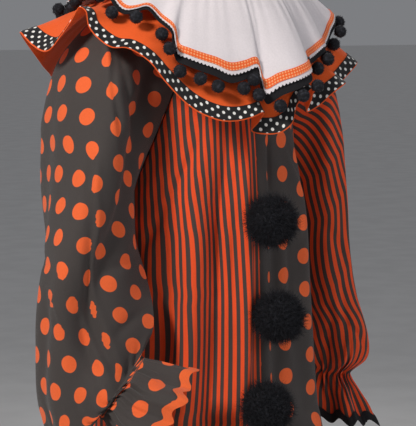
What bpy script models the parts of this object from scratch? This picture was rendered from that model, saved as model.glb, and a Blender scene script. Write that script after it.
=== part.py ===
"""Clown costume: a half striped, half dotted jumpsuit with full sleeves, a layered ruff and three pompoms.

Metres, +Z up. The origin is the middle of the neck, level with the shoulder seams, which is
where the costume hangs on its wearer. The front faces -Y, so the wearer's right is at -X.
Each cloth piece is one sheet: a grid of points on its outer face, worked out from the tables
below, and a second grid inside it by the thickness of the wall. Neighbours stop SEAM apart.
"""

import math
from functools import partial

import bmesh
import bpy
import numpy as np
from mathutils.bvhtree import BVHTree

WALL = 0.0018  # cotton with its seam allowances and gathers
RUFFLE_WALL = 0.0015
TRIM_WALL = 0.0011  # ribbon, tape and rickrack
SEAM = 0.0003

# The jumpsuit: heights are drops below the origin.
ARMPIT = 0.33
CROTCH_TOP = 0.66  # where the middle seam starts to curve under
CROTCH = 0.80
CROTCH_FLAT = 0.76  # where the folds fade out towards the inseam
HEM = 1.38
RAGLAN = math.radians(48)  # where the raglan seam meets the neckline, from the side
NECK_DIP = 0.030  # the front neckline below the shoulder
PANEL_COLUMNS = 10
CAP_ROWS = 8
TORSO_ROWS = 6
CROTCH_ROWS = 4
LEG_ROWS = 5

# The sleeves: places along a sleeve run from 0 at the neck to 1 at the cuff's edge.
CAP_END = 0.36  # the armpit
ELASTIC = 0.86
SLEEVE_COLUMNS = 24
GATHERS = 6
PINCH = 0.22  # how far the rings are drawn to a point at the seam under the arm

# The ruff.
BAND_LOW = 0.003
BAND_HIGH = 0.024
BAND_COLUMNS = 48
RUFF_ROWS = (0.0, 0.3, 0.56, 0.76)
PIN_DOT_RIBBON = (0.895, 0.985)  # from the neck, 0, to the ruffle's edge, 1
FLECKED_RIBBON = (0.915, 0.963)
FRINGE_TAPE = (0.963, 1.0, 1.05)
BALL_CENTRE = 0.010  # metres out from the tape's edge
BALL_APART = 0.020
BALL_RINGS = (  # distance from the tape, half width along it, half thickness
    (0.0020, 0.0025, 0.0010),
    (0.0075, 0.0070, 0.0068),
    (0.0130, 0.0066, 0.0064),
    (0.0180, 0.0025, 0.0025),
)

# The rickrack on the cuffs.
RICKRACK_WIDTH = 0.019
RICKRACK_SWING = 0.0055
RICKRACK_WAVES = 12
CUFF_LENGTH = 0.65  # metres of sleeve for one unit of `along`, near the cuff

# The pompoms.
POMPOM_RADIUS = 0.043
POMPOM_CORE = 0.034
POMPOM_BACK = 0.030  # the flattened side that is sewn on
POMPOMS = ((-0.006, -0.357), (0.006, -0.502), (-0.019, -0.636))


def table(columns, *rows):
    """A table as one array for each named column."""
    return {name: np.array(values, float) for name, values in zip(columns.split(), zip(*rows))}


def ring(columns, *rows):
    """A table that closes on itself after 360: its last rows also stand before its first,
    and its first rows after its last."""
    before = [(row[0] - 360, *row[1:]) for row in rows[-2:]]
    after = [(row[0] + 360, *row[1:]) for row in rows[:2]]
    return table(columns, *before, *rows, *after)


def read(rows, key, name, place):
    """Column `name` at `place` in column `key`, on a smooth curve through the rows."""
    x, y = rows[key], rows[name]
    slope = np.gradient(y, x)
    i = np.clip(np.searchsorted(x, place) - 1, 0, len(x) - 2)
    step = x[i + 1] - x[i]
    t = (place - x[i]) / step
    near, far = (1 + 2 * t) * (1 - t) ** 2 * y[i], t * t * (3 - 2 * t) * y[i + 1]
    return near + far + step * (t * (1 - t) ** 2 * slope[i] - t * t * (1 - t) * slope[i + 1])


BODY = table(
    "drop side middle front back",
    (0.00, 0.085, 0.000, 0.078, 0.075),
    (0.06, 0.108, 0.000, 0.094, 0.090),
    (0.155, 0.128, 0.000, 0.114, 0.108),
    (0.25, 0.138, 0.000, 0.126, 0.118),
    (0.33, 0.145, 0.000, 0.132, 0.124),
    (0.46, 0.152, 0.000, 0.138, 0.130),
    (0.60, 0.165, 0.000, 0.142, 0.138),
    (0.70, 0.177, 0.000, 0.147, 0.145),
    (0.80, 0.186, 0.093, 0.146, 0.146),
    (0.95, 0.191, 0.104, 0.128, 0.128),
    (1.15, 0.198, 0.109, 0.122, 0.122),
    (1.38, 0.208, 0.114, 0.118, 0.118),
)

# Folds of the panels: `across` runs from the side, 0, to the middle, 1, and drifts as it falls.
FOLDS = {
    "front_right": table(
        "across width height top bottom drift",
        (0.90, 0.055, 0.013, 0.16, 0.85, -0.06),
        (0.74, 0.075, -0.012, 0.12, 0.95, -0.08),
        (0.55, 0.080, 0.012, 0.18, 1.30, -0.10),
        (0.36, 0.075, -0.010, 0.24, 1.30, -0.05),
        (0.18, 0.080, 0.009, 0.34, 1.10, 0.02),
    ),
    "front_left": table(
        "across width height top bottom drift",
        (0.86, 0.070, -0.009, 0.20, 1.00, 0.00),
        (0.52, 0.110, 0.014, 0.16, 1.10, -0.04),
        (0.26, 0.090, -0.009, 0.26, 1.30, 0.03),
    ),
    "back_right": table(
        "across width height top bottom drift",
        (0.84, 0.075, 0.011, 0.14, 0.90, 0.03),
        (0.60, 0.085, -0.012, 0.18, 1.20, -0.06),
        (0.38, 0.080, 0.012, 0.22, 1.30, 0.00),
        (0.20, 0.070, -0.008, 0.36, 1.00, 0.04),
    ),
    "back_left": table(
        "across width height top bottom drift",
        (0.88, 0.070, -0.010, 0.18, 0.95, -0.03),
        (0.66, 0.085, 0.012, 0.14, 1.20, 0.05),
        (0.42, 0.090, -0.011, 0.26, 1.30, -0.04),
        (0.22, 0.080, 0.009, 0.30, 1.10, 0.00),
    ),
}

# Sleeve caps: the crest over the shoulder, how far round its ring each row reaches near the
# neck, and the half depth from front to back that it has further out.
CAPS = {
    "right": table(
        "along crest_out crest_up reach depth",
        (0.00, 0.0850, 0.000, 48, 0.080),
        (0.09, 0.1420, -0.018, 74, 0.086),
        (0.18, 0.2020, -0.058, 104, 0.094),
        (0.27, 0.2480, -0.116, 140, 0.098),
        (0.36, 0.2760, -0.195, 175, 0.098),
    ),
    "left": table(
        "along crest_out crest_up reach depth",
        (0.00, 0.0850, 0.000, 48, 0.080),
        (0.09, 0.1320, -0.034, 76, 0.082),
        (0.18, 0.1740, -0.084, 106, 0.086),
        (0.27, 0.2080, -0.142, 140, 0.088),
        (0.36, 0.2320, -0.215, 175, 0.086),
    ),
}

# Sleeves from the armpit to the cuff: the seam under the arm, the line opposite it, the
# half depth from front to back, and how far the front of each ring turns out and tips up.
ARMS = {
    "right": table(
        "along seam_out seam_y seam_up outer_out outer_y outer_up depth turn tip",
        (0.36, 0.1453, 0.000, -0.330, 0.276, 0.000, -0.195, 0.098, 0, 0),
        (0.46, 0.1530, -0.028, -0.388, 0.287, 0.006, -0.302, 0.102, 0, 0),
        (0.57, 0.1610, -0.070, -0.440, 0.296, 0.014, -0.416, 0.101, 4, 2),
        (0.67, 0.1690, -0.100, -0.483, 0.301, 0.020, -0.528, 0.097, 12, 4),
        (0.76, 0.1810, -0.116, -0.515, 0.298, 0.012, -0.640, 0.090, 20, 6),
        (0.82, 0.1960, -0.120, -0.536, 0.281, -0.030, -0.690, 0.074, 26, 7),
        (0.86, 0.2030, -0.124, -0.548, 0.262, -0.092, -0.634, 0.048, 27, 7),
        (0.90, 0.1830, -0.140, -0.554, 0.248, -0.110, -0.654, 0.056, 27, 7),
        (1.00, 0.1520, -0.172, -0.564, 0.222, -0.146, -0.674, 0.067, 27, 7),
    ),
    "left": table(
        "along seam_out seam_y seam_up outer_out outer_y outer_up depth turn tip",
        (0.36, 0.1453, 0.000, -0.330, 0.232, 0.000, -0.215, 0.086, 0, 0),
        (0.46, 0.1560, 0.000, -0.392, 0.243, 0.002, -0.308, 0.080, 0, 0),
        (0.57, 0.1620, 0.002, -0.454, 0.252, 0.004, -0.405, 0.077, 0, 0),
        (0.67, 0.1700, 0.004, -0.514, 0.270, 0.004, -0.494, 0.081, 0, 0),
        (0.76, 0.1850, 0.004, -0.570, 0.288, 0.004, -0.568, 0.086, 0, 0),
        (0.82, 0.1980, 0.004, -0.610, 0.286, 0.004, -0.612, 0.070, 0, 0),
        (0.86, 0.2130, 0.004, -0.634, 0.272, 0.004, -0.638, 0.042, 0, 0),
        (0.90, 0.2100, 0.004, -0.658, 0.284, 0.004, -0.664, 0.052, 0, 0),
        (1.00, 0.2040, 0.004, -0.702, 0.306, 0.004, -0.712, 0.068, 0, 0),
    ),
}

SLEEVE_FOLDS = {
    "right": table(
        "around width height start finish drift",
        (0.14, 0.055, -0.016, 0.10, 0.80, 0.10),
        (0.30, 0.060, 0.010, 0.16, 0.70, 0.06),
        (0.34, 0.045, -0.013, 0.52, 0.86, 0.22),
        (0.56, 0.060, -0.010, 0.24, 0.82, -0.10),
        (0.76, 0.055, 0.011, 0.20, 0.80, 0.05),
    ),
    "left": table(
        "around width height start finish drift",
        (0.16, 0.055, 0.010, 0.16, 0.78, -0.04),
        (0.34, 0.050, -0.011, 0.20, 0.84, 0.08),
        (0.52, 0.050, 0.010, 0.34, 0.82, -0.10),
        (0.70, 0.055, -0.009, 0.22, 0.74, 0.06),
        (0.86, 0.050, 0.008, 0.18, 0.70, 0.00),
    ),
}

# The ruffles' shape round the neck. Azimuth 0 is the front and 90 the wearer's left. `form` is the
# ruffle without folds, and `bow` how far it has fallen, as a share of its drop, halfway out. `edge`
# is its folded edge: for each azimuth at the neck, how far the cloth has turned round the neck.
RUFFS = {
    "orange": {
        "start": 0.005,  # metres up from the origin
        "gap": 0.0016,  # metres out from the neckband
        "swell": 2.2,  # how late, on the way out, its folds grow
        "form": ring(
            "azimuth reach drop bow",
            (-150, 0.223, 0.171, 0.32),
            (-120, 0.262, 0.126, 0.28),
            (-90, 0.271, 0.084, 0.24),
            (-60, 0.249, 0.111, 0.42),
            (-30, 0.213, 0.195, 0.55),
            (0, 0.200, 0.202, 0.60),
            (30, 0.205, 0.180, 0.53),
            (60, 0.223, 0.148, 0.41),
            (90, 0.237, 0.136, 0.24),
            (120, 0.225, 0.153, 0.28),
            (150, 0.207, 0.175, 0.32),
            (180, 0.199, 0.187, 0.36),
            (210, 0.223, 0.171, 0.32),
            (240, 0.262, 0.126, 0.28),
            (270, 0.271, 0.084, 0.24),
        ),
        "edge": ring(
            "azimuth turn reach drop",
            (-104.6, 1.4, 0.300, 0.084),
            (-99.7, 1.6, 0.292, 0.101),
            (-93.8, 3.2, 0.286, 0.109),
            (-88.4, 3, 0.278, 0.086),
            (-84.3, 1.3, 0.268, 0.064),
            (-80.8, -1.3, 0.256, 0.045),
            (-78.1, -0.4, 0.259, 0.050),
            (-73.6, -1.6, 0.266, 0.073),
            (-69.6, -1.8, 0.264, 0.090),
            (-65.7, -1.5, 0.258, 0.103),
            (-62.4, -1.3, 0.246, 0.104),
            (-56.4, -0, 0.240, 0.120),
            (-48.8, -1.2, 0.234, 0.152),
            (-40.2, -2.1, 0.226, 0.185),
            (-34.4, -1.3, 0.222, 0.201),
            (-30, -0.1, 0.218, 0.209),
            (-25.1, 1.6, 0.211, 0.209),
            (-20.3, 3.7, 0.207, 0.204),
            (-16.4, 5.4, 0.201, 0.199),
            (-13.3, 1.4, 0.190, 0.213),
            (-10.3, -4.2, 0.184, 0.226),
            (-6.5, -1.8, 0.192, 0.231),
            (-2.6, 0.9, 0.198, 0.228),
            (0.6, 1.2, 0.206, 0.216),
            (5.5, 0.2, 0.201, 0.190),
            (8.8, -0.1, 0.205, 0.174),
            (12.7, 2, 0.206, 0.165),
            (16.1, -0.4, 0.198, 0.183),
            (19.4, -3.4, 0.190, 0.201),
            (22.5, -2.5, 0.199, 0.194),
            (27.5, -2.6, 0.213, 0.176),
            (34.4, -1.1, 0.224, 0.159),
            (44.6, -0.6, 0.191, 0.175),
            (54.2, -0.1, 0.213, 0.154),
            (61, -1.1, 0.231, 0.137),
            (69.3, -0, 0.238, 0.132),
            (73.3, -0.4, 0.230, 0.140),
            (80.2, 0.8, 0.223, 0.146),
            (89.4, 0.3, 0.243, 0.131),
            (94, -0.3, 0.254, 0.123),
            (103.8, -0, 0.247, 0.131),
            (111.5, -1.5, 0.230, 0.146),
            (122.7, -1.7, 0.213, 0.163),
            (131.8, -0.4, 0.217, 0.163),
            (137.5, -0.1, 0.224, 0.159),
            (146.2, 0.5, 0.218, 0.166),
            (151.2, -1, 0.205, 0.177),
            (159.7, -1.7, 0.186, 0.193),
            (167.1, -0.2, 0.194, 0.189),
            (171.7, -0.7, 0.204, 0.182),
            (180.8, 0.5, 0.199, 0.188),
            (186.7, 1.1, 0.193, 0.194),
            (196.1, 2.9, 0.193, 0.195),
            (208.3, 2.3, 0.216, 0.178),
            (216.2, 0.8, 0.235, 0.165),
            (226.8, 0.9, 0.249, 0.152),
            (230.5, 1.3, 0.247, 0.149),
            (239.8, 2.2, 0.258, 0.132),
        ),
    },
    "white": {
        "start": 0.017,
        "gap": 0.0012,
        "swell": 1.7,
        "form": ring(
            "azimuth reach drop bow",
            (-150, 0.197, 0.081, 0.01),
            (-120, 0.208, 0.052, 0.03),
            (-90, 0.212, 0.044, 0.06),
            (-60, 0.212, 0.082, 0.02),
            (-30, 0.208, 0.134, 0.00),
            (0, 0.206, 0.153, 0.00),
            (30, 0.195, 0.125, 0.00),
            (60, 0.191, 0.082, 0.03),
            (90, 0.193, 0.059, 0.08),
            (120, 0.192, 0.070, 0.04),
            (150, 0.189, 0.093, 0.01),
            (180, 0.189, 0.102, 0.00),
            (210, 0.197, 0.081, 0.01),
            (240, 0.208, 0.052, 0.03),
            (270, 0.212, 0.044, 0.06),
        ),
        "edge": ring(
            "azimuth turn reach drop",
            (-83.7, 1.5, 0.214, 0.022),
            (-76.1, 1.1, 0.218, 0.040),
            (-68.5, 0.9, 0.218, 0.060),
            (-65.3, 1.4, 0.213, 0.059),
            (-62.2, 1.8, 0.206, 0.056),
            (-56.6, 1.9, 0.202, 0.073),
            (-50.3, 2, 0.212, 0.092),
            (-47, -0.5, 0.212, 0.108),
            (-43.9, -2.6, 0.216, 0.122),
            (-40.2, -2.1, 0.216, 0.129),
            (-36.6, -1.5, 0.212, 0.135),
            (-31.5, -0.7, 0.207, 0.143),
            (-26, 0.3, 0.206, 0.152),
            (-20.9, 1.7, 0.202, 0.148),
            (-16.4, 2.9, 0.198, 0.143),
            (-12.2, 0.3, 0.200, 0.162),
            (-8, -2.7, 0.205, 0.180),
            (-3.2, -2, 0.211, 0.170),
            (4.3, -0.7, 0.218, 0.159),
            (10.7, 0, 0.214, 0.148),
            (16, -2.5, 0.196, 0.137),
            (23.8, -1.4, 0.190, 0.126),
            (32.5, -0.6, 0.192, 0.113),
            (43.3, 0.7, 0.180, 0.116),
            (54.2, 0.5, 0.188, 0.094),
            (61.3, -0.5, 0.197, 0.078),
            (70.5, -0.1, 0.198, 0.065),
            (74.4, -0.5, 0.190, 0.068),
            (81.6, 0.4, 0.181, 0.065),
            (91, 0.2, 0.192, 0.047),
            (95.6, -0.3, 0.202, 0.043),
            (105.8, 0.2, 0.201, 0.052),
            (113.2, -0.8, 0.191, 0.065),
            (124.8, -0.8, 0.182, 0.081),
            (135.1, 0.2, 0.189, 0.084),
            (141.4, 0.2, 0.197, 0.081),
            (151.3, 0.7, 0.196, 0.089),
            (156.4, -0.4, 0.187, 0.098),
            (165.6, -0.6, 0.175, 0.113),
            (173.7, 0.4, 0.184, 0.111),
            (178.4, -0.2, 0.194, 0.106),
            (188.9, 0.1, 0.198, 0.096),
            (195.7, 0.3, 0.191, 0.096),
            (206.9, 1.1, 0.188, 0.088),
            (220.3, 0.9, 0.201, 0.071),
            (228.8, -0.2, 0.213, 0.058),
            (240.8, -0, 0.214, 0.048),
            (245.9, -0.4, 0.205, 0.051),
            (255.8, 0.2, 0.206, 0.042),
            (266.2, 0.8, 0.211, 0.034),
        ),
    },
}

COLOURS = {
    "orange_stripe": (0.72, 0.09, 0.03),
    "charcoal_dot": (0.07, 0.065, 0.062),
    "white_cotton": (0.80, 0.74, 0.76),
    "orange_cotton": (0.85, 0.13, 0.03),
    "black_trim": (0.012, 0.012, 0.014),
    "orange_trim": (0.90, 0.22, 0.06),
}


def read_ring(rows, name, azimuth):
    first = rows["azimuth"][2]
    return read(rows, "azimuth", name, (azimuth - first) % 360 + first)


def rise(x):
    """A smooth step from 0 to 1."""
    t = np.clip(x, 0, 1)
    return t * t * (3 - 2 * t)


def panel_row(drop):
    """Where a panel's row starts, at the raglan or side seam, and ends, its middle and its half width."""
    left = np.clip(1 - drop / ARMPIT, 0, 1)
    start = RAGLAN * np.sin(left * math.pi / 2)
    side, inner = read(BODY, "drop", "side", drop), read(BODY, "drop", "middle", drop)
    split = np.clip((drop - CROTCH_TOP) / (CROTCH - CROTCH_TOP), 0, 1)
    middle = np.where(drop < CROTCH, side * split / (1 + split), inner)
    return start, np.arccos(-split), middle, side - middle


def panel_at(name, across, drop, seam=SEAM):
    """A place on the outer face of a front or back panel, from the side (0) to the middle (1), and its normal."""
    right, front = name.endswith("right"), name.startswith("front")
    start, end, middle, width = panel_row(drop)
    depth = read(BODY, "drop", "front" if front else "back", drop)
    start = start + np.where(drop < ARMPIT, seam / width, 0)
    angle = start + (end - start) * across
    bulge = 0
    for across_at, fold_width, height, top, bottom, drift in zip(*FOLDS[name].values()):
        off = (across - across_at - drift * (drop - top)) / fold_width
        shown = rise((drop - top) / 0.22) * rise((bottom - drop) / 0.25 + 0.35)
        bulge = bulge + height * np.exp(-off * off) * shown
    bulge = bulge * rise(across / 0.09) * rise((1 - across) / 0.09)
    bulge = bulge * (1 - 0.8 * rise((across - 0.4) / 0.3) * np.exp(-(((drop - CROTCH_FLAT) / 0.08) ** 2)))
    out = np.cos(angle) / width, np.sin(angle) / depth
    size = np.hypot(*out)
    x = middle + width * np.cos(angle) + bulge * out[0] / size + SEAM / 2
    y = depth * np.sin(angle) + bulge * out[1] / size + SEAM / 2
    dip = (NECK_DIP if front else 0.004) * np.sin(angle) ** 2 * np.exp(-((drop / 0.09) ** 2))
    flip = np.array([-1 if right else 1, -1 if front else 1, 1])
    point = np.stack([x, y, -drop - dip], -1)
    normal = np.stack([out[0] / size, out[1] / size, 0 * size], -1)
    return point * flip, normal * flip


def columns_at(rows, key, names, place):
    return np.stack([read(rows, key, name, place) for name in names.split()], -1)


def unit(vectors):
    return vectors / np.linalg.norm(vectors, axis=-1)[..., None]


def sleeve_at(side, around, along):
    """A place on the outer face of a sleeve, from its front seam (0) round to its back seam (1), and its normal."""
    cap, arm = CAPS[side], ARMS[side]
    sign = -1 if side == "right" else 1
    flip = np.array([sign, 1, 1])
    in_cap = along < CAP_END
    cap_at, arm_at = np.minimum(along, CAP_END), np.maximum(along, CAP_END)
    drop = ARMPIT * cap_at / CAP_END
    front = panel_at("front_" + side, 0 * drop, drop, 0)[0]
    back = panel_at("back_" + side, 0 * drop, drop, 0)[0]
    crest_out, crest_up, reach, cap_depth = np.moveaxis(
        columns_at(cap, "along", "crest_out crest_up reach depth", cap_at), -1, 0
    )
    seam = columns_at(arm, "along", "seam_out seam_y seam_up", arm_at) * flip
    outer = columns_at(arm, "along", "outer_out outer_y outer_up", arm_at) * flip
    cap_crest = np.stack([crest_out * sign, 0 * drop, crest_up], -1)
    middle = np.where(in_cap[..., None], (front + back) / 2, seam)
    crest = np.where(in_cap[..., None], cap_crest, outer)
    half_seam = np.where(in_cap, np.linalg.norm(front - back, axis=-1) / 2, SEAM / 2)
    turn, tip, depth = np.moveaxis(columns_at(arm, "along", "turn tip depth", arm_at), -1, 0)
    turn, tip = np.radians(turn), np.radians(tip)
    depth = np.where(in_cap, cap_depth, depth)
    length = np.linalg.norm(crest - middle, axis=-1)
    outward = unit(crest - middle)
    forward = np.stack([sign * np.sin(turn) * np.cos(tip), -np.cos(turn) * np.cos(tip), np.sin(tip)], -1)
    forward = unit(forward - outward * np.sum(forward * outward, -1)[..., None])
    across_seam = unit(front - back + np.array([0, -1e-4, 0]))
    forward = np.where(in_cap[..., None], across_seam, forward)
    full = math.pi - np.arcsin(np.clip(half_seam / depth, 0, 1))
    share = rise((along - 0.12) / 0.15)
    reach = np.radians(reach) * (1 - share) + full * share
    depth = np.where(share < 1, half_seam / np.sin(np.minimum(reach, math.radians(179))), depth)
    angle = reach * (1 - 2 * around)
    pinch = PINCH * share
    fall = (1 - pinch) * (1 - np.cos(angle)) / (1 - np.cos(reach)) + pinch * (angle / reach) ** 4
    steep = (1 - pinch) * np.sin(angle) / (1 - np.cos(reach)) + pinch * 4 * angle**3 / reach**4
    bulge = 0
    for around_at, fold_width, height, begin, finish, drift in zip(*SLEEVE_FOLDS[side].values()):
        off = (around - around_at - drift * (along - begin)) / fold_width
        shown = rise((along - begin) / 0.14) * rise((finish - along) / 0.12)
        bulge = bulge + height * np.exp(-off * off) * shown
    gather = 0.005 * rise((along - 0.72) / 0.09) * rise((ELASTIC - along) / 0.05)
    gather = gather + 0.0015 * np.exp(-(((along - ELASTIC) / 0.03) ** 2)) + 0.009 * rise((along - ELASTIC) / 0.10)
    bulge = bulge + gather * np.cos(2 * math.pi * GATHERS * around)
    bulge = bulge * rise(around / 0.05) * rise((1 - around) / 0.05)
    normal = unit(outward * (depth * np.cos(angle))[..., None] + forward * (length * steep)[..., None])
    under_seam = (np.minimum(around, 1 - around) < 1e-6) & (along >= CAP_END)
    normal = np.where(under_seam[..., None], -outward, normal)
    point = crest - outward * (length * fall)[..., None] + forward * (depth * np.sin(angle))[..., None]
    point = point + normal * bulge[..., None]
    return point, normal


def neck_radius(azimuth, inset=0.0):
    """Half width of the neckline's oval towards an azimuth, in radians from the front."""
    depth = np.where(np.cos(azimuth) > 0, BODY["front"][0], BODY["back"][0]) - inset
    return 1 / np.hypot(np.sin(azimuth) / (BODY["side"][0] - inset), np.cos(azimuth) / depth)


BAND_INSET = 0.0025  # the neckband stands just inside the panels, on top of them


def ruff_point(layer, azimuth, out):
    """A point on the upper face of a ruffle, from the neckband (0) to the edge (1) and past it."""
    ruff = RUFFS[layer]
    form, edge = ruff["form"], ruff["edge"]
    reach, drop, bow = (read_ring(form, name, azimuth) for name in ("reach", "drop", "bow"))
    size = np.clip(out, 0, None) ** ruff["swell"]
    angle = np.radians(azimuth + read_ring(edge, "turn", azimuth) * size)
    reach = reach + (read_ring(edge, "reach", azimuth) - reach) * size
    drop = drop + (read_ring(edge, "drop", azimuth) - drop) * size
    neck = neck_radius(np.radians(azimuth), BAND_INSET) + ruff["gap"]
    halfway = neck + 0.52 * (reach - neck)
    radius = neck * (1 - out) ** 2 + 2 * halfway * out * (1 - out) + reach * out * out
    fall = 2 * bow * drop * out * (1 - out) + drop * out * out
    return np.stack([np.sin(angle) * radius, -np.cos(angle) * radius, ruff["start"] - fall], -1)


def ruff_at(layer, azimuth, out):
    """A place on the upper face of a ruffle, and its normal."""
    turn, step = 0.05, 1e-3
    around = ruff_point(layer, azimuth + turn, out) - ruff_point(layer, azimuth - turn, out)
    outwards = ruff_point(layer, azimuth, out + step) - ruff_point(layer, azimuth, out - step)
    return ruff_point(layer, azimuth, out), unit(np.cross(outwards, around))


def material(name, roughness=0.85):
    made = bpy.data.materials.get(name) or bpy.data.materials.new(name)
    made.use_nodes = True
    shader = made.node_tree.nodes["Principled BSDF"]
    shader.inputs["Base Color"].default_value = (*COLOURS[name], 1)
    shader.inputs["Roughness"].default_value = roughness
    shader.inputs["Metallic"].default_value = 0
    return made


def add_object(name, mesh, finish):
    made = bpy.data.objects.new(name, mesh)
    mesh.materials.append(material(finish))
    costume.objects.link(made)
    return made


def wall_mesh(name, outer, inner, closed):
    """A wall between two grids of points, closed round its first direction or open at all four edges.

    Every square of the grids is halved along the same diagonal, so walls on one surface stay parallel.
    """
    mesh = bpy.data.meshes.new(name)
    bm = bmesh.new()
    grids = [[[bm.verts.new(p) for p in row] for row in grid] for grid in (outer, inner)]
    columns, rows = len(outer), len(outer[0])
    spans = columns if closed else columns - 1
    for grid, turned in zip(grids, (False, True)):
        for i in range(spans):
            for j in range(rows - 1):
                k = (i + 1) % columns
                for face in ([grid[i][j], grid[k][j], grid[k][j + 1]], [grid[i][j], grid[k][j + 1], grid[i][j + 1]]):
                    bm.faces.new(face[::-1] if turned else face)
    rim = [[(i, j), ((i + 1) % columns, j)] for j in (0, rows - 1) for i in range(spans)]
    if not closed:
        rim += [[(i, j), (i, j + 1)] for i in (0, columns - 1) for j in range(rows - 1)]
    for a, b in rim:
        corners = [grids[0][a[0]][a[1]], grids[0][b[0]][b[1]], grids[1][b[0]][b[1]], grids[1][a[0]][a[1]]]
        bm.faces.new(corners)
    bmesh.ops.recalc_face_normals(bm, faces=bm.faces)
    if bm.calc_volume(signed=True) < 0:
        bmesh.ops.reverse_faces(bm, faces=bm.faces)
    bm.to_mesh(mesh)
    bm.free()
    mesh.shade_smooth()
    mesh.set_sharp_from_angle(angle=math.radians(50))
    return mesh


def add_cloth(name, surface, columns, rows, finish, wall=WALL, lift=0.0, closed=False):
    """A wall on a surface of (column, row) values: its outer face is `lift` above the surface."""
    points, normals = surface(*np.meshgrid(columns, rows, indexing="ij"))
    outer = points + normals * lift
    return add_object(name, wall_mesh(name, outer, outer - normals * wall, closed), finish)


def panel_rows():
    cap = np.linspace(0, ARMPIT, CAP_ROWS + 1)
    torso = np.linspace(ARMPIT, CROTCH_TOP, TORSO_ROWS + 1)[1:]
    under = CROTCH_TOP + (CROTCH - CROTCH_TOP) * np.sin(np.linspace(0, math.pi / 2, CROTCH_ROWS + 1)[1:])
    leg = np.linspace(CROTCH, HEM, LEG_ROWS + 1)[1:]
    return np.concatenate([cap, torso, under, leg])


def sleeve_rows():
    cap = np.linspace(0, CAP_END, CAP_ROWS + 1)
    arm = np.linspace(CAP_END, 0.80, 8)[1:]
    return np.concatenate([cap, arm, [0.835, ELASTIC, 0.882, 0.915, 0.957, 1.0]])


def add_panels():
    columns = np.linspace(0, 1, PANEL_COLUMNS + 1)
    for name in FOLDS:
        finish = "orange_stripe" if name.endswith("right") else "charcoal_dot"
        add_cloth(name, partial(panel_at, name), columns, panel_rows(), finish)


def add_sleeves():
    columns = np.linspace(0, 1, SLEEVE_COLUMNS + 1)
    for side, finish in (("right", "charcoal_dot"), ("left", "orange_stripe")):
        add_cloth("sleeve_" + side, partial(sleeve_at, side), columns, sleeve_rows(), finish)


def add_rickrack(side, finish):
    """A wavy braid round the cuff's edge, on the flats between the sleeve's own columns."""
    swing = 2 * math.pi * RICKRACK_WAVES

    last, edge = sleeve_rows()[-2:]

    def surface(around, across):
        place = edge + (across * RICKRACK_WIDTH + RICKRACK_SWING * np.cos(swing * around)) / CUFF_LENGTH
        low = np.floor(around * SLEEVE_COLUMNS)
        sideways, down = (around * SLEEVE_COLUMNS - low)[..., None], ((place - last) / (edge - last))[..., None]
        point, normal = 0, 0
        for column, shown in ((low, 1 - sideways), (low + 1, sideways)):
            for row, weight in ((last, 1 - down), (edge, down)):
                corner = sleeve_at(side, column / SLEEVE_COLUMNS, row + 0 * place)
                point, normal = point + corner[0] * shown * weight, normal + corner[1] * shown * weight
        return point, unit(normal)

    steps = SLEEVE_COLUMNS * 3
    columns = np.arange(steps) / steps
    edges = np.array([-0.5, 0.5])
    add_cloth("rickrack_" + side, surface, columns, edges, finish, TRIM_WALL, 3 * SEAM + TRIM_WALL, True)


def ruff_columns(layer):
    return RUFFS[layer]["edge"]["azimuth"][2:-2]


def add_ruffles():
    for layer, trim, place in (
        ("orange", "ribbon_pin_dot", PIN_DOT_RIBBON),
        ("white", "ribbon_flecked", FLECKED_RIBBON),
    ):
        surface, columns = partial(ruff_at, layer), ruff_columns(layer)
        rows = np.array([*RUFF_ROWS, *place, 1.0])
        add_cloth("ruffle_" + layer, surface, columns, rows, layer + "_cotton", RUFFLE_WALL, 0, True)
        finish = "black_trim" if layer == "orange" else "orange_trim"
        add_cloth(trim, surface, columns, np.array(place), finish, TRIM_WALL, SEAM + TRIM_WALL, True)


def between(line):
    return (line + np.roll(line, -1, 0)) / 2


def add_ball_fringe():
    """A tape under the white ruffle's edge, with a four-sided ball drawn out of each stretch of its edge."""
    lift = -(RUFFLE_WALL + 4 * SEAM)
    surface, columns = partial(ruff_at, "white"), ruff_columns("white")
    tape = add_cloth("ball_fringe", surface, columns, np.array(FRINGE_TAPE), "black_trim", TRIM_WALL, lift, True)
    bm = bmesh.new()
    bm.from_mesh(tape.data)
    inner, outer = (between(ruff_point("white", columns, np.array(out))) for out in (FRINGE_TAPE[0], FRINGE_TAPE[-1]))
    edge = {}
    for face in (face for face in bm.faces if len(face.verts) == 4):
        near, far = (np.linalg.norm(line - face.calc_center_median(), axis=1) for line in (inner, outer))
        if far.min() < near.min():
            edge[int(far.argmin())] = face
    grown = []
    for _, face in sorted(edge.items()):
        centre = face.calc_center_median() + face.normal * BALL_CENTRE
        if all((centre - other).length > BALL_APART for other in grown):
            grown.append(centre)
            grow_ball(bm, face)
    bmesh.ops.recalc_face_normals(bm, faces=bm.faces)
    bm.to_mesh(tape.data)
    bm.free()


def grow_ball(bm, face):
    middle, out = face.calc_center_median(), face.normal.copy()
    longest = max(face.edges, key=lambda e: e.calc_length())
    along = (longest.verts[1].co - longest.verts[0].co).normalized()
    thick = out.cross(along)
    ways = [v.co - middle for v in face.verts]
    corners = [(math.copysign(1, along.dot(way)), math.copysign(1, thick.dot(way))) for way in ways]
    for distance, half_width, half_thick in BALL_RINGS:
        face = bmesh.ops.extrude_discrete_faces(bm, faces=[face])["faces"][0]
        for vert, (a, t) in zip(face.verts, corners):
            vert.co = middle + out * distance + along * a * half_width + thick * t * half_thick


def add_neckband():
    def surface(azimuth, height):
        angle = np.radians(azimuth)
        radius = neck_radius(angle, BAND_INSET)
        normal = np.stack([np.sin(angle), -np.cos(angle), 0 * angle], -1)
        return normal * radius[..., None] + height[..., None] * np.array([0, 0, 1]), normal

    columns = np.arange(BAND_COLUMNS) * 360 / BAND_COLUMNS
    add_cloth("neckband", surface, columns, np.array([BAND_LOW, BAND_HIGH]), "white_cotton", WALL, 0, True)


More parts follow.
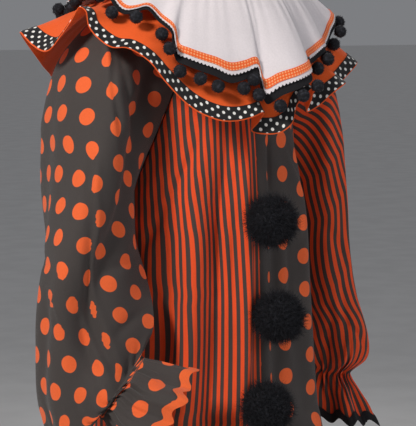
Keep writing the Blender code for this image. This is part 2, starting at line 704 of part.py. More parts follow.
def add_pompoms(panels):
    """A ball of short locks, one on each face of its core, flattened where it is sewn to the front."""
    fronts = [BVHTree.FromObject(panel, bpy.context.evaluated_depsgraph_get()) for panel in panels]
    spots = [(a, b) for a in np.linspace(-1, 1, 49) * POMPOM_RADIUS for b in np.linspace(-1, 1, 49) * POMPOM_RADIUS]
    for number, (x, z) in enumerate(POMPOMS, 1):
        bm = bmesh.new()
        bmesh.ops.create_icosphere(bm, subdivisions=2, radius=POMPOM_CORE)
        bmesh.ops.poke(bm, faces=bm.faces[:], offset=POMPOM_RADIUS - POMPOM_CORE * 0.94)
        for vert in bm.verts:
            vert.co.y = min(vert.co.y, POMPOM_BACK)
        bmesh.ops.recalc_face_normals(bm, faces=bm.faces)
        back = BVHTree.FromBMesh(bm)
        room = []
        for a, b in spots:
            behind = back.ray_cast((a, 1, b), (0, -1, 0))[0]
            ahead = [front.ray_cast((x + a, -1, z + b), (0, 1, 0))[0] for front in fronts]
            room += [place.y - behind.y for place in ahead if place and behind]
        bmesh.ops.translate(bm, verts=bm.verts, vec=(x, min(room) - 2.5 * SEAM, z))
        mesh = bpy.data.meshes.new(f"pompom_{number}")
        bm.to_mesh(mesh)
        bm.free()
        add_object(mesh.name, mesh, "black_trim")


for old in list(bpy.data.objects):
    bpy.data.objects.remove(old)
costume = bpy.data.collections.new("clown_costume")
bpy.context.scene.collection.children.link(costume)

add_panels()
add_sleeves()
add_rickrack("right", "orange_trim")
add_rickrack("left", "black_trim")
add_neckband()
add_ruffles()
add_ball_fringe()
add_pompoms([costume.objects["front_right"], costume.objects["front_left"]])
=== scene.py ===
import math
from functools import partial

import bmesh
import bpy
import numpy as np
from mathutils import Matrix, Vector


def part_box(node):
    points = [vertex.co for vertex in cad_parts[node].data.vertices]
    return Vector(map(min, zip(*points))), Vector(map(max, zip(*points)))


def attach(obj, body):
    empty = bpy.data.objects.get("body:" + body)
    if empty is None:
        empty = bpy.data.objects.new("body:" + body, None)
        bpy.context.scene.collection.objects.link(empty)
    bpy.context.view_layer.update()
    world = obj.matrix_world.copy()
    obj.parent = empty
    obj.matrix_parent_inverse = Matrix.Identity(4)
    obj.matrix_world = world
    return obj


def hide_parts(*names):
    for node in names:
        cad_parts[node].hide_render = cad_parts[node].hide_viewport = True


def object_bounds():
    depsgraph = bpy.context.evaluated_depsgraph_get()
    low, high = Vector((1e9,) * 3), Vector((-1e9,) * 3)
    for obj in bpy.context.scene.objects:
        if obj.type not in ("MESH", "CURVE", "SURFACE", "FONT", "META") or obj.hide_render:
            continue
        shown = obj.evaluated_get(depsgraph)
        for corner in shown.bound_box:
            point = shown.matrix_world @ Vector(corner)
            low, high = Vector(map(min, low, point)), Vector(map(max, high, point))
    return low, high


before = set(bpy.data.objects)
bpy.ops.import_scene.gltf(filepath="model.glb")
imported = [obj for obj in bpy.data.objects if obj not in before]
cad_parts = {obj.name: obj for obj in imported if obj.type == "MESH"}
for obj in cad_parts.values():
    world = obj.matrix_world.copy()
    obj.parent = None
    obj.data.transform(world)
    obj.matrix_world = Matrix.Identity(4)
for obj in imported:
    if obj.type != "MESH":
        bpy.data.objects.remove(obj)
cadBox = [list(corner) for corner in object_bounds()]
scene = bpy.context.scene
print("frame loaded")

wall = 0.0014  # thickness of the cotton; all sizes are in metres
ruffleWall = 0.0011
trimWall = 0.0009
seam = 0.0003  # room between two sewn edges
armpit = 0.33  # drops from the neck
crotchTop = 0.66
crotch = 0.80
crotchFlat = 0.76
hem = 1.38
capEnd = 0.36  # shares of a sleeve's length: at the armpit and at the elastic
elastic = 0.86
inch = 0.0254


def table(columns, *rows):
    return {name: np.array(values, float) for name, values in zip(columns.split(), zip(*rows))}


def ring(columns, *rows):  # a table that closes on itself after 360
    before = [(row[0] - 360, *row[1:]) for row in rows[-2:]]
    after = [(row[0] + 360, *row[1:]) for row in rows[:2]]
    return table(columns, *before, *rows, *after)


folds = partial(table, "place width height start finish drift")  # a row is a soft fold
creases = partial(table, "x0 y0 x1 y1 width height")  # a row is a crease: its ends, width and height


def rise(x):  # from 0 at 0 smoothly to 1 at 1
    t = np.clip(x, 0, 1)
    return t * t * (3 - 2 * t)


def bell(x):
    return np.exp(-x * x)


def unit(vectors):
    return vectors / np.maximum(np.linalg.norm(vectors, axis=-1), 1e-12)[..., None]


def read(rows, key, name, place):  # a smooth curve through the rows of a table
    x, y = rows[key], rows[name]
    slope = np.gradient(y, x)
    i = np.clip(np.searchsorted(x, place) - 1, 0, len(x) - 2)
    step = x[i + 1] - x[i]
    t = (place - x[i]) / step
    near, far = (1 + 2 * t) * (1 - t) ** 2 * y[i], t * t * (3 - 2 * t) * y[i + 1]
    return near + far + step * (t * (1 - t) ** 2 * slope[i] - t * t * (1 - t) * slope[i + 1])


def readRing(rows, name, azimuth):
    first = rows["azimuth"][2]
    return read(rows, "azimuth", name, (azimuth - first) % 360 + first)


def columnsAt(rows, key, names, place):
    return np.stack([read(rows, key, name, place) for name in names.split()], -1)


body = table(  # half widths of the body and how far forward and back it reaches
    "drop side middle front back",
    (0.00, 0.085, 0.000, 0.078, 0.075),
    (0.06, 0.108, 0.000, 0.094, 0.090),
    (0.155, 0.128, 0.000, 0.114, 0.108),
    (0.25, 0.138, 0.000, 0.126, 0.118),
    (0.33, 0.145, 0.000, 0.132, 0.124),
    (0.46, 0.152, 0.000, 0.138, 0.130),
    (0.60, 0.165, 0.000, 0.142, 0.138),
    (0.70, 0.177, 0.000, 0.147, 0.145),
    (0.80, 0.186, 0.093, 0.146, 0.146),
    (0.95, 0.191, 0.104, 0.128, 0.128),
    (1.15, 0.198, 0.109, 0.122, 0.122),
    (1.38, 0.208, 0.114, 0.118, 0.118),
)

panelFolds = {  # places are shares of a panel's width, from the side to the middle
    "front_right": folds(
        (0.90, 0.055, 0.013, 0.16, 0.85, -0.06),
        (0.74, 0.075, -0.012, 0.12, 0.95, -0.08),
        (0.55, 0.080, 0.012, 0.18, 1.30, -0.10),
        (0.36, 0.075, -0.010, 0.24, 1.30, -0.05),
        (0.18, 0.080, 0.009, 0.34, 1.10, 0.02),
    ),
    "front_left": folds(
        (0.86, 0.070, -0.009, 0.20, 1.00, 0.00),
        (0.52, 0.110, 0.014, 0.16, 1.10, -0.04),
        (0.26, 0.090, -0.009, 0.26, 1.30, 0.03),
    ),
    "back_right": folds(
        (0.84, 0.075, 0.011, 0.14, 0.90, 0.03),
        (0.60, 0.085, -0.012, 0.18, 1.20, -0.06),
        (0.38, 0.080, 0.012, 0.22, 1.30, 0.00),
        (0.20, 0.070, -0.008, 0.36, 1.00, 0.04),
    ),
    "back_left": folds(
        (0.88, 0.070, -0.010, 0.18, 0.95, -0.03),
        (0.66, 0.085, 0.012, 0.14, 1.20, 0.05),
        (0.42, 0.090, -0.011, 0.26, 1.30, -0.04),
        (0.22, 0.080, 0.009, 0.30, 1.10, 0.00),
    ),
}

caps = {  # a sleeve above the armpit: its crest, and its turn and depth about that
    "right": table(
        "along crestOut crestUp reach depth",
        (0.00, 0.0850, 0.000, 48, 0.080),
        (0.09, 0.1420, -0.018, 74, 0.086),
        (0.18, 0.2020, -0.058, 104, 0.094),
        (0.27, 0.2480, -0.116, 140, 0.098),
        (0.36, 0.2760, -0.195, 175, 0.098),
    ),
    "left": table(
        "along crestOut crestUp reach depth",
        (0.00, 0.0850, 0.000, 48, 0.080),
        (0.09, 0.1320, -0.034, 76, 0.082),
        (0.18, 0.1740, -0.084, 106, 0.086),
        (0.27, 0.2080, -0.142, 140, 0.088),
        (0.36, 0.2320, -0.215, 175, 0.086),
    ),
}

arms = {  # a sleeve below the armpit: its under seam, its outer line and how it is turned
    "right": table(
        "along seamOut seamY seamUp outerOut outerY outerUp depth turn tip",
        (0.36, 0.1453, 0.000, -0.330, 0.276, 0.000, -0.195, 0.098, 0, 0),
        (0.46, 0.1530, -0.028, -0.388, 0.287, 0.006, -0.302, 0.102, 0, 0),
        (0.57, 0.1610, -0.070, -0.440, 0.296, 0.014, -0.416, 0.101, 4, 2),
        (0.67, 0.1690, -0.100, -0.483, 0.301, 0.020, -0.528, 0.097, 12, 4),
        (0.76, 0.1810, -0.116, -0.515, 0.298, 0.012, -0.640, 0.090, 20, 6),
        (0.82, 0.1960, -0.120, -0.536, 0.281, -0.030, -0.690, 0.074, 26, 7),
        (0.86, 0.2030, -0.124, -0.548, 0.262, -0.092, -0.634, 0.048, 27, 7),
        (0.90, 0.1830, -0.140, -0.554, 0.248, -0.110, -0.654, 0.056, 27, 7),
        (1.00, 0.1520, -0.172, -0.564, 0.222, -0.146, -0.674, 0.067, 27, 7),
    ),
    "left": table(
        "along seamOut seamY seamUp outerOut outerY outerUp depth turn tip",
        (0.36, 0.1453, 0.000, -0.330, 0.232, 0.000, -0.215, 0.086, 0, 0),
        (0.46, 0.1560, 0.000, -0.392, 0.243, 0.002, -0.308, 0.080, 0, 0),
        (0.57, 0.1620, 0.002, -0.454, 0.252, 0.004, -0.405, 0.077, 0, 0),
        (0.67, 0.1700, 0.004, -0.514, 0.270, 0.004, -0.494, 0.081, 0, 0),
        (0.76, 0.1850, 0.004, -0.570, 0.288, 0.004, -0.568, 0.086, 0, 0),
        (0.82, 0.1980, 0.004, -0.610, 0.286, 0.004, -0.612, 0.070, 0, 0),
        (0.86, 0.2130, 0.004, -0.634, 0.272, 0.004, -0.638, 0.042, 0, 0),
        (0.90, 0.2100, 0.004, -0.658, 0.284, 0.004, -0.664, 0.052, 0, 0),
        (1.00, 0.2040, 0.004, -0.702, 0.306, 0.004, -0.712, 0.068, 0, 0),
    ),
}

sleeveFolds = {  # places are shares of the way round from the front seam
    "right": folds(
        (0.14, 0.055, -0.016, 0.10, 0.80, 0.10),
        (0.30, 0.060, 0.010, 0.16, 0.70, 0.06),
        (0.34, 0.045, -0.013, 0.52, 0.86, 0.22),
        (0.56, 0.060, -0.010, 0.24, 0.82, -0.10),
        (0.76, 0.055, 0.011, 0.20, 0.80, 0.05),
    ),
    "left": folds(
        (0.16, 0.055, 0.010, 0.16, 0.78, -0.04),
        (0.34, 0.050, -0.011, 0.20, 0.84, 0.08),
        (0.52, 0.050, 0.010, 0.34, 0.82, -0.10),
        (0.70, 0.055, -0.009, 0.22, 0.74, 0.06),
        (0.86, 0.050, 0.008, 0.18, 0.70, 0.00),
    ),
}

ruffs = {  # form is the smooth cloth near the neck, and edge is the wavy outer edge
    "orange": {
        "columns": 620,
        "start": 0.005,
        "gap": 0.0016,
        "swell": 2.2,
        "form": ring(
            "azimuth reach drop bow",
            (-150, 0.223, 0.171, 0.32),
            (-120, 0.262, 0.126, 0.28),
            (-90, 0.271, 0.084, 0.24),
            (-60, 0.249, 0.111, 0.42),
            (-30, 0.213, 0.195, 0.55),
            (0, 0.200, 0.202, 0.60),
            (30, 0.205, 0.180, 0.53),
            (60, 0.223, 0.148, 0.41),
            (90, 0.237, 0.136, 0.24),
            (120, 0.225, 0.153, 0.28),
            (150, 0.207, 0.175, 0.32),
            (180, 0.199, 0.187, 0.36),
            (210, 0.223, 0.171, 0.32),
            (240, 0.262, 0.126, 0.28),
            (270, 0.271, 0.084, 0.24),
        ),
        "edge": ring(
            "azimuth turn reach drop",
            (-104.6, 1.4, 0.300, 0.084),
            (-99.7, 1.6, 0.292, 0.101),
            (-93.8, 3.2, 0.286, 0.109),
            (-88.4, 3, 0.278, 0.086),
            (-84.3, 1.3, 0.268, 0.064),
            (-80.8, -1.3, 0.256, 0.045),
            (-78.1, -0.4, 0.259, 0.050),
            (-73.6, -1.6, 0.266, 0.073),
            (-69.6, -1.8, 0.264, 0.090),
            (-65.7, -1.5, 0.258, 0.103),
            (-62.4, -1.3, 0.246, 0.104),
            (-56.4, 0, 0.240, 0.120),
            (-48.8, -1.2, 0.234, 0.152),
            (-40.2, -2.1, 0.226, 0.185),
            (-34.4, -1.3, 0.222, 0.201),
            (-30, -0.1, 0.218, 0.209),
            (-25.1, 1.6, 0.211, 0.209),
            (-20.3, 3.7, 0.207, 0.204),
            (-16.4, 5.4, 0.201, 0.199),
            (-13.3, 1.4, 0.190, 0.213),
            (-10.3, -4.2, 0.184, 0.226),
            (-6.5, -1.8, 0.192, 0.231),
            (-2.6, 0.9, 0.198, 0.228),
            (0.6, 1.2, 0.206, 0.216),
            (5.5, 0.2, 0.201, 0.190),
            (8.8, -0.1, 0.205, 0.174),
            (12.7, 2, 0.206, 0.165),
            (16.1, -0.4, 0.198, 0.183),
            (19.4, -3.4, 0.190, 0.201),
            (22.5, -2.5, 0.199, 0.194),
            (27.5, -2.6, 0.213, 0.176),
            (34.4, -1.1, 0.224, 0.159),
            (44.6, -0.6, 0.191, 0.175),
            (54.2, -0.1, 0.213, 0.154),
            (61, -1.1, 0.231, 0.137),
            (69.3, 0, 0.238, 0.132),
            (73.3, -0.4, 0.230, 0.140),
            (80.2, 0.8, 0.223, 0.146),
            (89.4, 0.3, 0.243, 0.131),
            (94, -0.3, 0.254, 0.123),
            (103.8, 0, 0.247, 0.131),
            (111.5, -1.5, 0.230, 0.146),
            (122.7, -1.7, 0.213, 0.163),
            (131.8, -0.4, 0.217, 0.163),
            (137.5, -0.1, 0.224, 0.159),
            (146.2, 0.5, 0.218, 0.166),
            (151.2, -1, 0.205, 0.177),
            (159.7, -1.7, 0.186, 0.193),
            (167.1, -0.2, 0.194, 0.189),
            (171.7, -0.7, 0.204, 0.182),
            (180.8, 0.5, 0.199, 0.188),
            (186.7, 1.1, 0.193, 0.194),
            (196.1, 2.9, 0.193, 0.195),
            (208.3, 2.3, 0.216, 0.178),
            (216.2, 0.8, 0.235, 0.165),
            (226.8, 0.9, 0.249, 0.152),
            (230.5, 1.3, 0.247, 0.149),
            (239.8, 2.2, 0.258, 0.132),
        ),
    },
    "white": {
        "columns": 560,
        "start": 0.017,
        "gap": 0.0012,
        "swell": 1.7,
        "form": ring(
            "azimuth reach drop bow",
            (-150, 0.197, 0.081, 0.01),
            (-120, 0.208, 0.052, 0.03),
            (-90, 0.212, 0.044, 0.06),
            (-60, 0.212, 0.082, 0.02),
            (-30, 0.208, 0.134, 0.00),
            (0, 0.206, 0.153, 0.00),
            (30, 0.195, 0.125, 0.00),
            (60, 0.191, 0.082, 0.03),
            (90, 0.193, 0.059, 0.08),
            (120, 0.192, 0.070, 0.04),
            (150, 0.189, 0.093, 0.01),
            (180, 0.189, 0.102, 0.00),
            (210, 0.197, 0.081, 0.01),
            (240, 0.208, 0.052, 0.03),
            (270, 0.212, 0.044, 0.06),
        ),
        "edge": ring(
            "azimuth turn reach drop",
            (-83.7, 1.5, 0.214, 0.022),
            (-76.1, 1.1, 0.218, 0.040),
            (-68.5, 0.9, 0.218, 0.060),
            (-65.3, 1.4, 0.213, 0.059),
            (-62.2, 1.8, 0.206, 0.056),
            (-56.6, 1.9, 0.202, 0.073),
            (-50.3, 2, 0.212, 0.092),
            (-47, -0.5, 0.212, 0.108),
            (-43.9, -2.6, 0.216, 0.122),
            (-40.2, -2.1, 0.216, 0.129),
            (-36.6, -1.5, 0.212, 0.135),
            (-31.5, -0.7, 0.207, 0.143),
            (-26, 0.3, 0.206, 0.152),
            (-20.9, 1.7, 0.202, 0.148),
            (-16.4, 2.9, 0.198, 0.143),
            (-12.2, 0.3, 0.200, 0.162),
            (-8, -2.7, 0.205, 0.180),
            (-3.2, -2, 0.211, 0.170),
            (4.3, -0.7, 0.218, 0.159),
            (10.7, 0, 0.214, 0.148),
            (16, -2.5, 0.196, 0.137),
            (23.8, -1.4, 0.190, 0.126),
            (32.5, -0.6, 0.192, 0.113),
            (43.3, 0.7, 0.180, 0.116),
            (54.2, 0.5, 0.188, 0.094),
            (61.3, -0.5, 0.197, 0.078),
            (70.5, -0.1, 0.198, 0.065),
            (74.4, -0.5, 0.190, 0.068),
            (81.6, 0.4, 0.181, 0.065),
            (91, 0.2, 0.192, 0.047),
            (95.6, -0.3, 0.202, 0.043),
            (105.8, 0.2, 0.201, 0.052),
            (113.2, -0.8, 0.191, 0.065),
            (124.8, -0.8, 0.182, 0.081),
            (135.1, 0.2, 0.189, 0.084),
            (141.4, 0.2, 0.197, 0.081),
            (151.3, 0.7, 0.196, 0.089),
            (156.4, -0.4, 0.187, 0.098),
            (165.6, -0.6, 0.175, 0.113),
            (173.7, 0.4, 0.184, 0.111),
            (178.4, -0.2, 0.194, 0.106),
            (188.9, 0.1, 0.198, 0.096),
            (195.7, 0.3, 0.191, 0.096),
            (206.9, 1.1, 0.188, 0.088),
            (220.3, 0.9, 0.201, 0.071),
            (228.8, -0.2, 0.213, 0.058),
            (240.8, 0, 0.214, 0.048),
            (245.9, -0.4, 0.205, 0.051),
            (255.8, 0.2, 0.206, 0.042),
            (266.2, 0.8, 0.211, 0.034),
        ),
    },
}


panelForm = {
    "raglan": math.radians(48),  # how far from the side a panel starts at the neck
    "frontDip": 0.030,  # how far the neckline dips
    "backDip": 0.004,
    "dipOver": 0.09,
    "foldIn": 0.22,  # the drop over which a fold rises, and over which it runs out
    "foldOut": 0.25,
    "foldLeft": 0.35,
    "seamFade": 0.09,  # the share of the width where folds fade into the seams
    "calm": 0.8,  # how much flatter the folds are round the crotch
    "calmFrom": 0.4,
    "calmWidth": 0.3,
    "calmDrop": 0.08,
}


def panelRow(drop):
    left = np.clip(1 - drop / armpit, 0, 1)
    start = panelForm["raglan"] * np.sin(left * math.pi / 2)
    side, inner = read(body, "drop", "side", drop), read(body, "drop", "middle", drop)
    split = np.clip((drop - crotchTop) / (crotch - crotchTop), 0, 1)
    middle = np.where(drop < crotch, side * split / (1 + split), inner)
    return start, np.arccos(-split), middle, side - middle


def panelAt(name, across, drop, gap=seam):  # across goes from the side, 0, to the middle, 1
    form = panelForm
    right, front = name.endswith("right"), name.startswith("front")
    start, end, middle, width = panelRow(drop)
    depth = read(body, "drop", "front" if front else "back", drop)
    start = start + np.where(drop < armpit, gap / width, 0)
    angle = start + (end - start) * across
    bulge = 0
    for place, foldWidth, height, top, bottom, drift in zip(*panelFolds[name].values()):
        off = (across - place - drift * (drop - top)) / foldWidth
        shown = rise((drop - top) / form["foldIn"])
        shown = shown * rise((bottom - drop) / form["foldOut"] + form["foldLeft"])
        bulge = bulge + height * bell(off) * shown
    bulge = bulge * rise(across / form["seamFade"]) * rise((1 - across) / form["seamFade"])
    calm = rise((across - form["calmFrom"]) / form["calmWidth"])
    calm = calm * bell((drop - crotchFlat) / form["calmDrop"])
    bulge = bulge * (1 - form["calm"] * calm)
    out = np.cos(angle) / width, np.sin(angle) / depth
    size = np.hypot(*out)
    x = middle + width * np.cos(angle) + bulge * out[0] / size + seam / 2
    y = depth * np.sin(angle) + bulge * out[1] / size + seam / 2
    dip = form["frontDip" if front else "backDip"] * np.sin(angle) ** 2 * bell(drop / form["dipOver"])
    flip = np.array([-1 if right else 1, -1 if front else 1, 1])
    point = np.stack([x, y, -drop - dip], -1)
    normal = np.stack([out[0] / size, out[1] / size, 0 * size], -1)
    return point * flip, normal * flip


sleeveForm = {
    "openFrom": 0.12,  # where the section starts to close into a tube, and over how much of the length
    "openOver": 0.15,
    "pinch": 0.22,  # how far the section is drawn to a point at its seam
    "foldIn": 0.14,
    "foldOut": 0.12,
    "seamFade": 0.05,
    "waves": 6,  # large gathers round the wrist: how high they are above, at and below the elastic
    "above": 0.005,
    "at": 0.0015,
    "below": 0.009,
    "gatherFrom": 0.72,
    "gatherIn": 0.09,
    "gatherOut": 0.05,
    "atWidth": 0.03,
    "flare": 0.10,
}


def sleeveAt(side, around, along):  # around goes from the front seam, 0, to the back seam, 1
    cap, arm, form = caps[side], arms[side], sleeveForm
    sign = -1 if side == "right" else 1
    flip = np.array([sign, 1, 1])
    inCap = along < capEnd
    capAt, armAt = np.minimum(along, capEnd), np.maximum(along, capEnd)
    drop = armpit * capAt / capEnd
    front = panelAt("front_" + side, 0 * drop, drop, 0)[0]
    back = panelAt("back_" + side, 0 * drop, drop, 0)[0]
    crestOut, crestUp, reach, capDepth = np.moveaxis(
        columnsAt(cap, "along", "crestOut crestUp reach depth", capAt), -1, 0
    )
    seamLine = columnsAt(arm, "along", "seamOut seamY seamUp", armAt) * flip
    outer = columnsAt(arm, "along", "outerOut outerY outerUp", armAt) * flip
    capCrest = np.stack([crestOut * sign, 0 * drop, crestUp], -1)
    middle = np.where(inCap[..., None], (front + back) / 2, seamLine)
    crest = np.where(inCap[..., None], capCrest, outer)
    halfSeam = np.where(inCap, np.linalg.norm(front - back, axis=-1) / 2, seam / 2)
    turn, tip, depth = np.moveaxis(columnsAt(arm, "along", "turn tip depth", armAt), -1, 0)
    turn, tip = np.radians(turn), np.radians(tip)
    depth = np.where(inCap, capDepth, depth)
    length = np.linalg.norm(crest - middle, axis=-1)
    outward = unit(crest - middle)
    level = np.cos(tip)
    forward = np.stack([sign * np.sin(turn) * level, -np.cos(turn) * level, np.sin(tip)], -1)
    forward = unit(forward - outward * np.sum(forward * outward, -1)[..., None])
    acrossSeam = unit(front - back + np.array([0, -1e-4, 0]))
    forward = np.where(inCap[..., None], acrossSeam, forward)
    full = math.pi - np.arcsin(np.clip(halfSeam / depth, 0, 1))
    share = rise((along - form["openFrom"]) / form["openOver"])
    reach = np.radians(reach) * (1 - share) + full * share
    depth = np.where(share < 1, halfSeam / np.sin(np.minimum(reach, math.radians(179))), depth)
    angle = reach * (1 - 2 * around)
    drawn = form["pinch"] * share
    fall = (1 - drawn) * (1 - np.cos(angle)) / (1 - np.cos(reach)) + drawn * (angle / reach) ** 4
    steep = (1 - drawn) * np.sin(angle) / (1 - np.cos(reach)) + drawn * 4 * angle**3 / reach**4
    bulge = 0
    for place, foldWidth, height, begin, finish, drift in zip(*sleeveFolds[side].values()):
        off = (around - place - drift * (along - begin)) / foldWidth
        shown = rise((along - begin) / form["foldIn"]) * rise((finish - along) / form["foldOut"])
        bulge = bulge + height * bell(off) * shown
    past = along - elastic
    gather = form["above"] * rise((along - form["gatherFrom"]) / form["gatherIn"])
    gather = gather * rise(-past / form["gatherOut"])
    gather = gather + form["at"] * bell(past / form["atWidth"]) + form["below"] * rise(past / form["flare"])
    bulge = bulge + gather * np.cos(2 * math.pi * form["waves"] * around)
    bulge = bulge * rise(around / form["seamFade"]) * rise((1 - around) / form["seamFade"])
    tilt, swing = depth * np.cos(angle), depth * np.sin(angle)
    normal = unit(outward * tilt[..., None] + forward * (length * steep)[..., None])
    underSeam = (np.minimum(around, 1 - around) < 1e-6) & (along >= capEnd)
    normal = np.where(underSeam[..., None], -outward, normal)
    point = crest - outward * (length * fall)[..., None] + forward * swing[..., None]
    return point + normal * bulge[..., None], normal


def neckRadius(azimuth, inset=0.0):  # in radians from the front
    depth = np.where(np.cos(azimuth) > 0, body["front"][0], body["back"][0]) - inset
    return 1 / np.hypot(np.sin(azimuth) / (body["side"][0] - inset), np.cos(azimuth) / depth)


ruffShoulder = 0.52  # how far out the middle of a ruffle's curve stands
ruffStep = {"turn": 0.05, "out": 1e-3}  # degrees and share of the depth, for its normals


def ruffPoint(layer, azimuth, out):  # from the neckband, 0, to the edge, 1, and past it
    ruff = ruffs[layer]
    form, edge = ruff["form"], ruff["edge"]
    reach, drop, bow = (readRing(form, name, azimuth) for name in ("reach", "drop", "bow"))
    size = np.clip(out, 0, None) ** ruff["swell"]
    angle = np.radians(azimuth + readRing(edge, "turn", azimuth) * size)
    reach = reach + (readRing(edge, "reach", azimuth) - reach) * size
    drop = drop + (readRing(edge, "drop", azimuth) - drop) * size
    neck = neckRadius(np.radians(azimuth), neckband["inset"]) + ruff["gap"]
    halfway = neck + ruffShoulder * (reach - neck)
    radius = neck * (1 - out) ** 2 + 2 * halfway * out * (1 - out) + reach * out * out
    fall = 2 * bow * drop * out * (1 - out) + drop * out * out
    return np.stack([np.sin(angle) * radius, -np.cos(angle) * radius, ruff["start"] - fall], -1)


def ruffAt(layer, azimuth, out):
    turn, step = ruffStep["turn"], ruffStep["out"]
    around = ruffPoint(layer, azimuth + turn, out) - ruffPoint(layer, azimuth - turn, out)
    outwards = ruffPoint(layer, azimuth, out + step) - ruffPoint(layer, azimuth, out - step)
    return ruffPoint(layer, azimuth, out), unit(np.cross(outwards, around))


creaseEnds = 0.35  # how much of its height a crease keeps at its ends


def creaseSum(x, y, rows):  # soft troughs and ridges along the lines, in metres on the cloth
    total = 0 * x
    for x0, y0, x1, y1, width, height in zip(*rows.values()):
        dx, dy = x1 - x0, y1 - y0
        place = np.clip(((x - x0) * dx + (y - y0) * dy) / (dx * dx + dy * dy), 0, 1)
        off = np.hypot(x - x0 - place * dx, y - y0 - place * dy) / width
        total = total + height * bell(off) * (creaseEnds + (1 - creaseEnds) * np.sin(math.pi * place))
    return total


def hum(x, *terms):  # a sum of waves: how many to a unit, phase and share of each
    return sum(share * np.sin(2 * math.pi * (count * x + phase)) for count, phase, share in terms)


def gridNormals(points, closed, toward):  # normals of a grid of points, on the side of rough ones
    along, around = np.gradient(points, axis=1), np.gradient(points, axis=0)
    if closed:
        around = np.roll(points, -1, 0) - np.roll(points, 1, 0)
    normals = unit(np.cross(around, along))
    return normals * np.sign(np.sum(normals * toward, -1))[..., None]


def facing(quads, backward):  # the corners of each face in the order that turns it outwards
    return quads[:, ::-1] if backward else quads


def clothPiece(name, points, rough, cloth, finish, thick=wall, closed=False):
    # a shell with its rims; cloth holds where each point lies on the flat cloth, in metres
    # a closed piece goes all round, and its last column joins its first
    columns, rows = points.shape[:2]
    normals = gridNormals(points, closed, rough)
    grids = np.stack([points, points - normals * thick])
    index = np.arange(2 * columns * rows).reshape(2, columns, rows)
    if closed:
        index = np.concatenate([index, index[:, :1]], 1)
        cloth = np.concatenate([cloth, 2 * cloth[-1:] - cloth[-2:-1]], 0)
    near, far = index[:, :-1], index[:, 1:]
    quads = np.stack([near[:, :, :-1], far[:, :, :-1], far[:, :, 1:], near[:, :, 1:]], -1)
    place = np.stack([cloth[:-1, :-1], cloth[1:, :-1], cloth[1:, 1:], cloth[:-1, 1:]], -2)
    outer, inner = quads[0].reshape(-1, 4), quads[1].reshape(-1, 4)
    p = grids.reshape(-1, 3)
    corner, second, _, last = outer[len(outer) // 2]
    up = np.cross(p[second] - p[corner], p[last] - p[corner])
    turned = up @ normals.reshape(-1, 3)[corner] < 0
    uv = place.reshape(-1, 4, 2)
    faces = [facing(outer, turned), facing(inner, not turned)]
    uvs = [facing(uv, turned), facing(uv, not turned)]
    rims = [(index[:, :, 0], cloth[:, 0]), (index[:, :, -1], cloth[:, -1])]
    if not closed:
        rims += [(index[:, 0], cloth[0]), (index[:, -1], cloth[-1])]
    for number, (line, at) in enumerate(rims):
        rim = np.stack([line[0, :-1], line[1, :-1], line[1, 1:], line[0, 1:]], -1)
        rimUv = np.stack([at[:-1], at[:-1], at[1:], at[1:]], -2)
        backward = (number in (1, 2)) != turned
        faces.append(facing(rim, backward))
        uvs.append(facing(rimUv, backward))
    mesh = bpy.data.meshes.new(name)
    mesh.from_pydata(p.tolist(), [], np.concatenate(faces).tolist())
    layer = mesh.uv_layers.new(name="cloth")
    layer.data.foreach_set("uv", np.concatenate(uvs).reshape(-1))
    mesh.shade_smooth()
    mesh.set_sharp_from_angle(angle=math.radians(70))
    made = bpy.data.objects.new(name, mesh)
    scene.collection.objects.link(made)
    mesh.materials.append(finish)
    return made


def lengths(points, axis):  # distance along a grid's rows or columns
    steps = np.linalg.norm(np.diff(points, axis=axis), axis=-1)
    start = np.zeros_like(np.take(steps, [0], axis=axis))
    return np.cumsum(np.concatenate([start, steps], axis), axis=axis)


class Wire:  # a socket that sums, products and functions can be taken of
    def __init__(self, shader, socket):
        self.shader, self.socket = shader, socket

    def maths(self, operation, *others):
        return self.shader.add("Math", {"operation": operation}, self, *others)

    def __add__(self, other):
        return self.maths("ADD", other)

    def __radd__(self, other):
        return self.maths("ADD", other)

    def __sub__(self, other):
        return self.maths("SUBTRACT", other)

    def __rsub__(self, other):
        return self.shader.add("Math", {"operation": "SUBTRACT"}, other, self)

    def __mul__(self, other):
        return self.maths("MULTIPLY", other)

    def __rmul__(self, other):
        return self.maths("MULTIPLY", other)

    def __truediv__(self, other):
        return self.maths("DIVIDE", other)

    def __rtruediv__(self, other):
        return self.shader.add("Math", {"operation": "DIVIDE"}, other, self)

    def step(self, low, high):  # 0 below low, 1 above high
        smooth = {"interpolation_type": "SMOOTHSTEP"}
        return self.shader.add("MapRange", smooth, self, low, high, 0.0, 1.0)


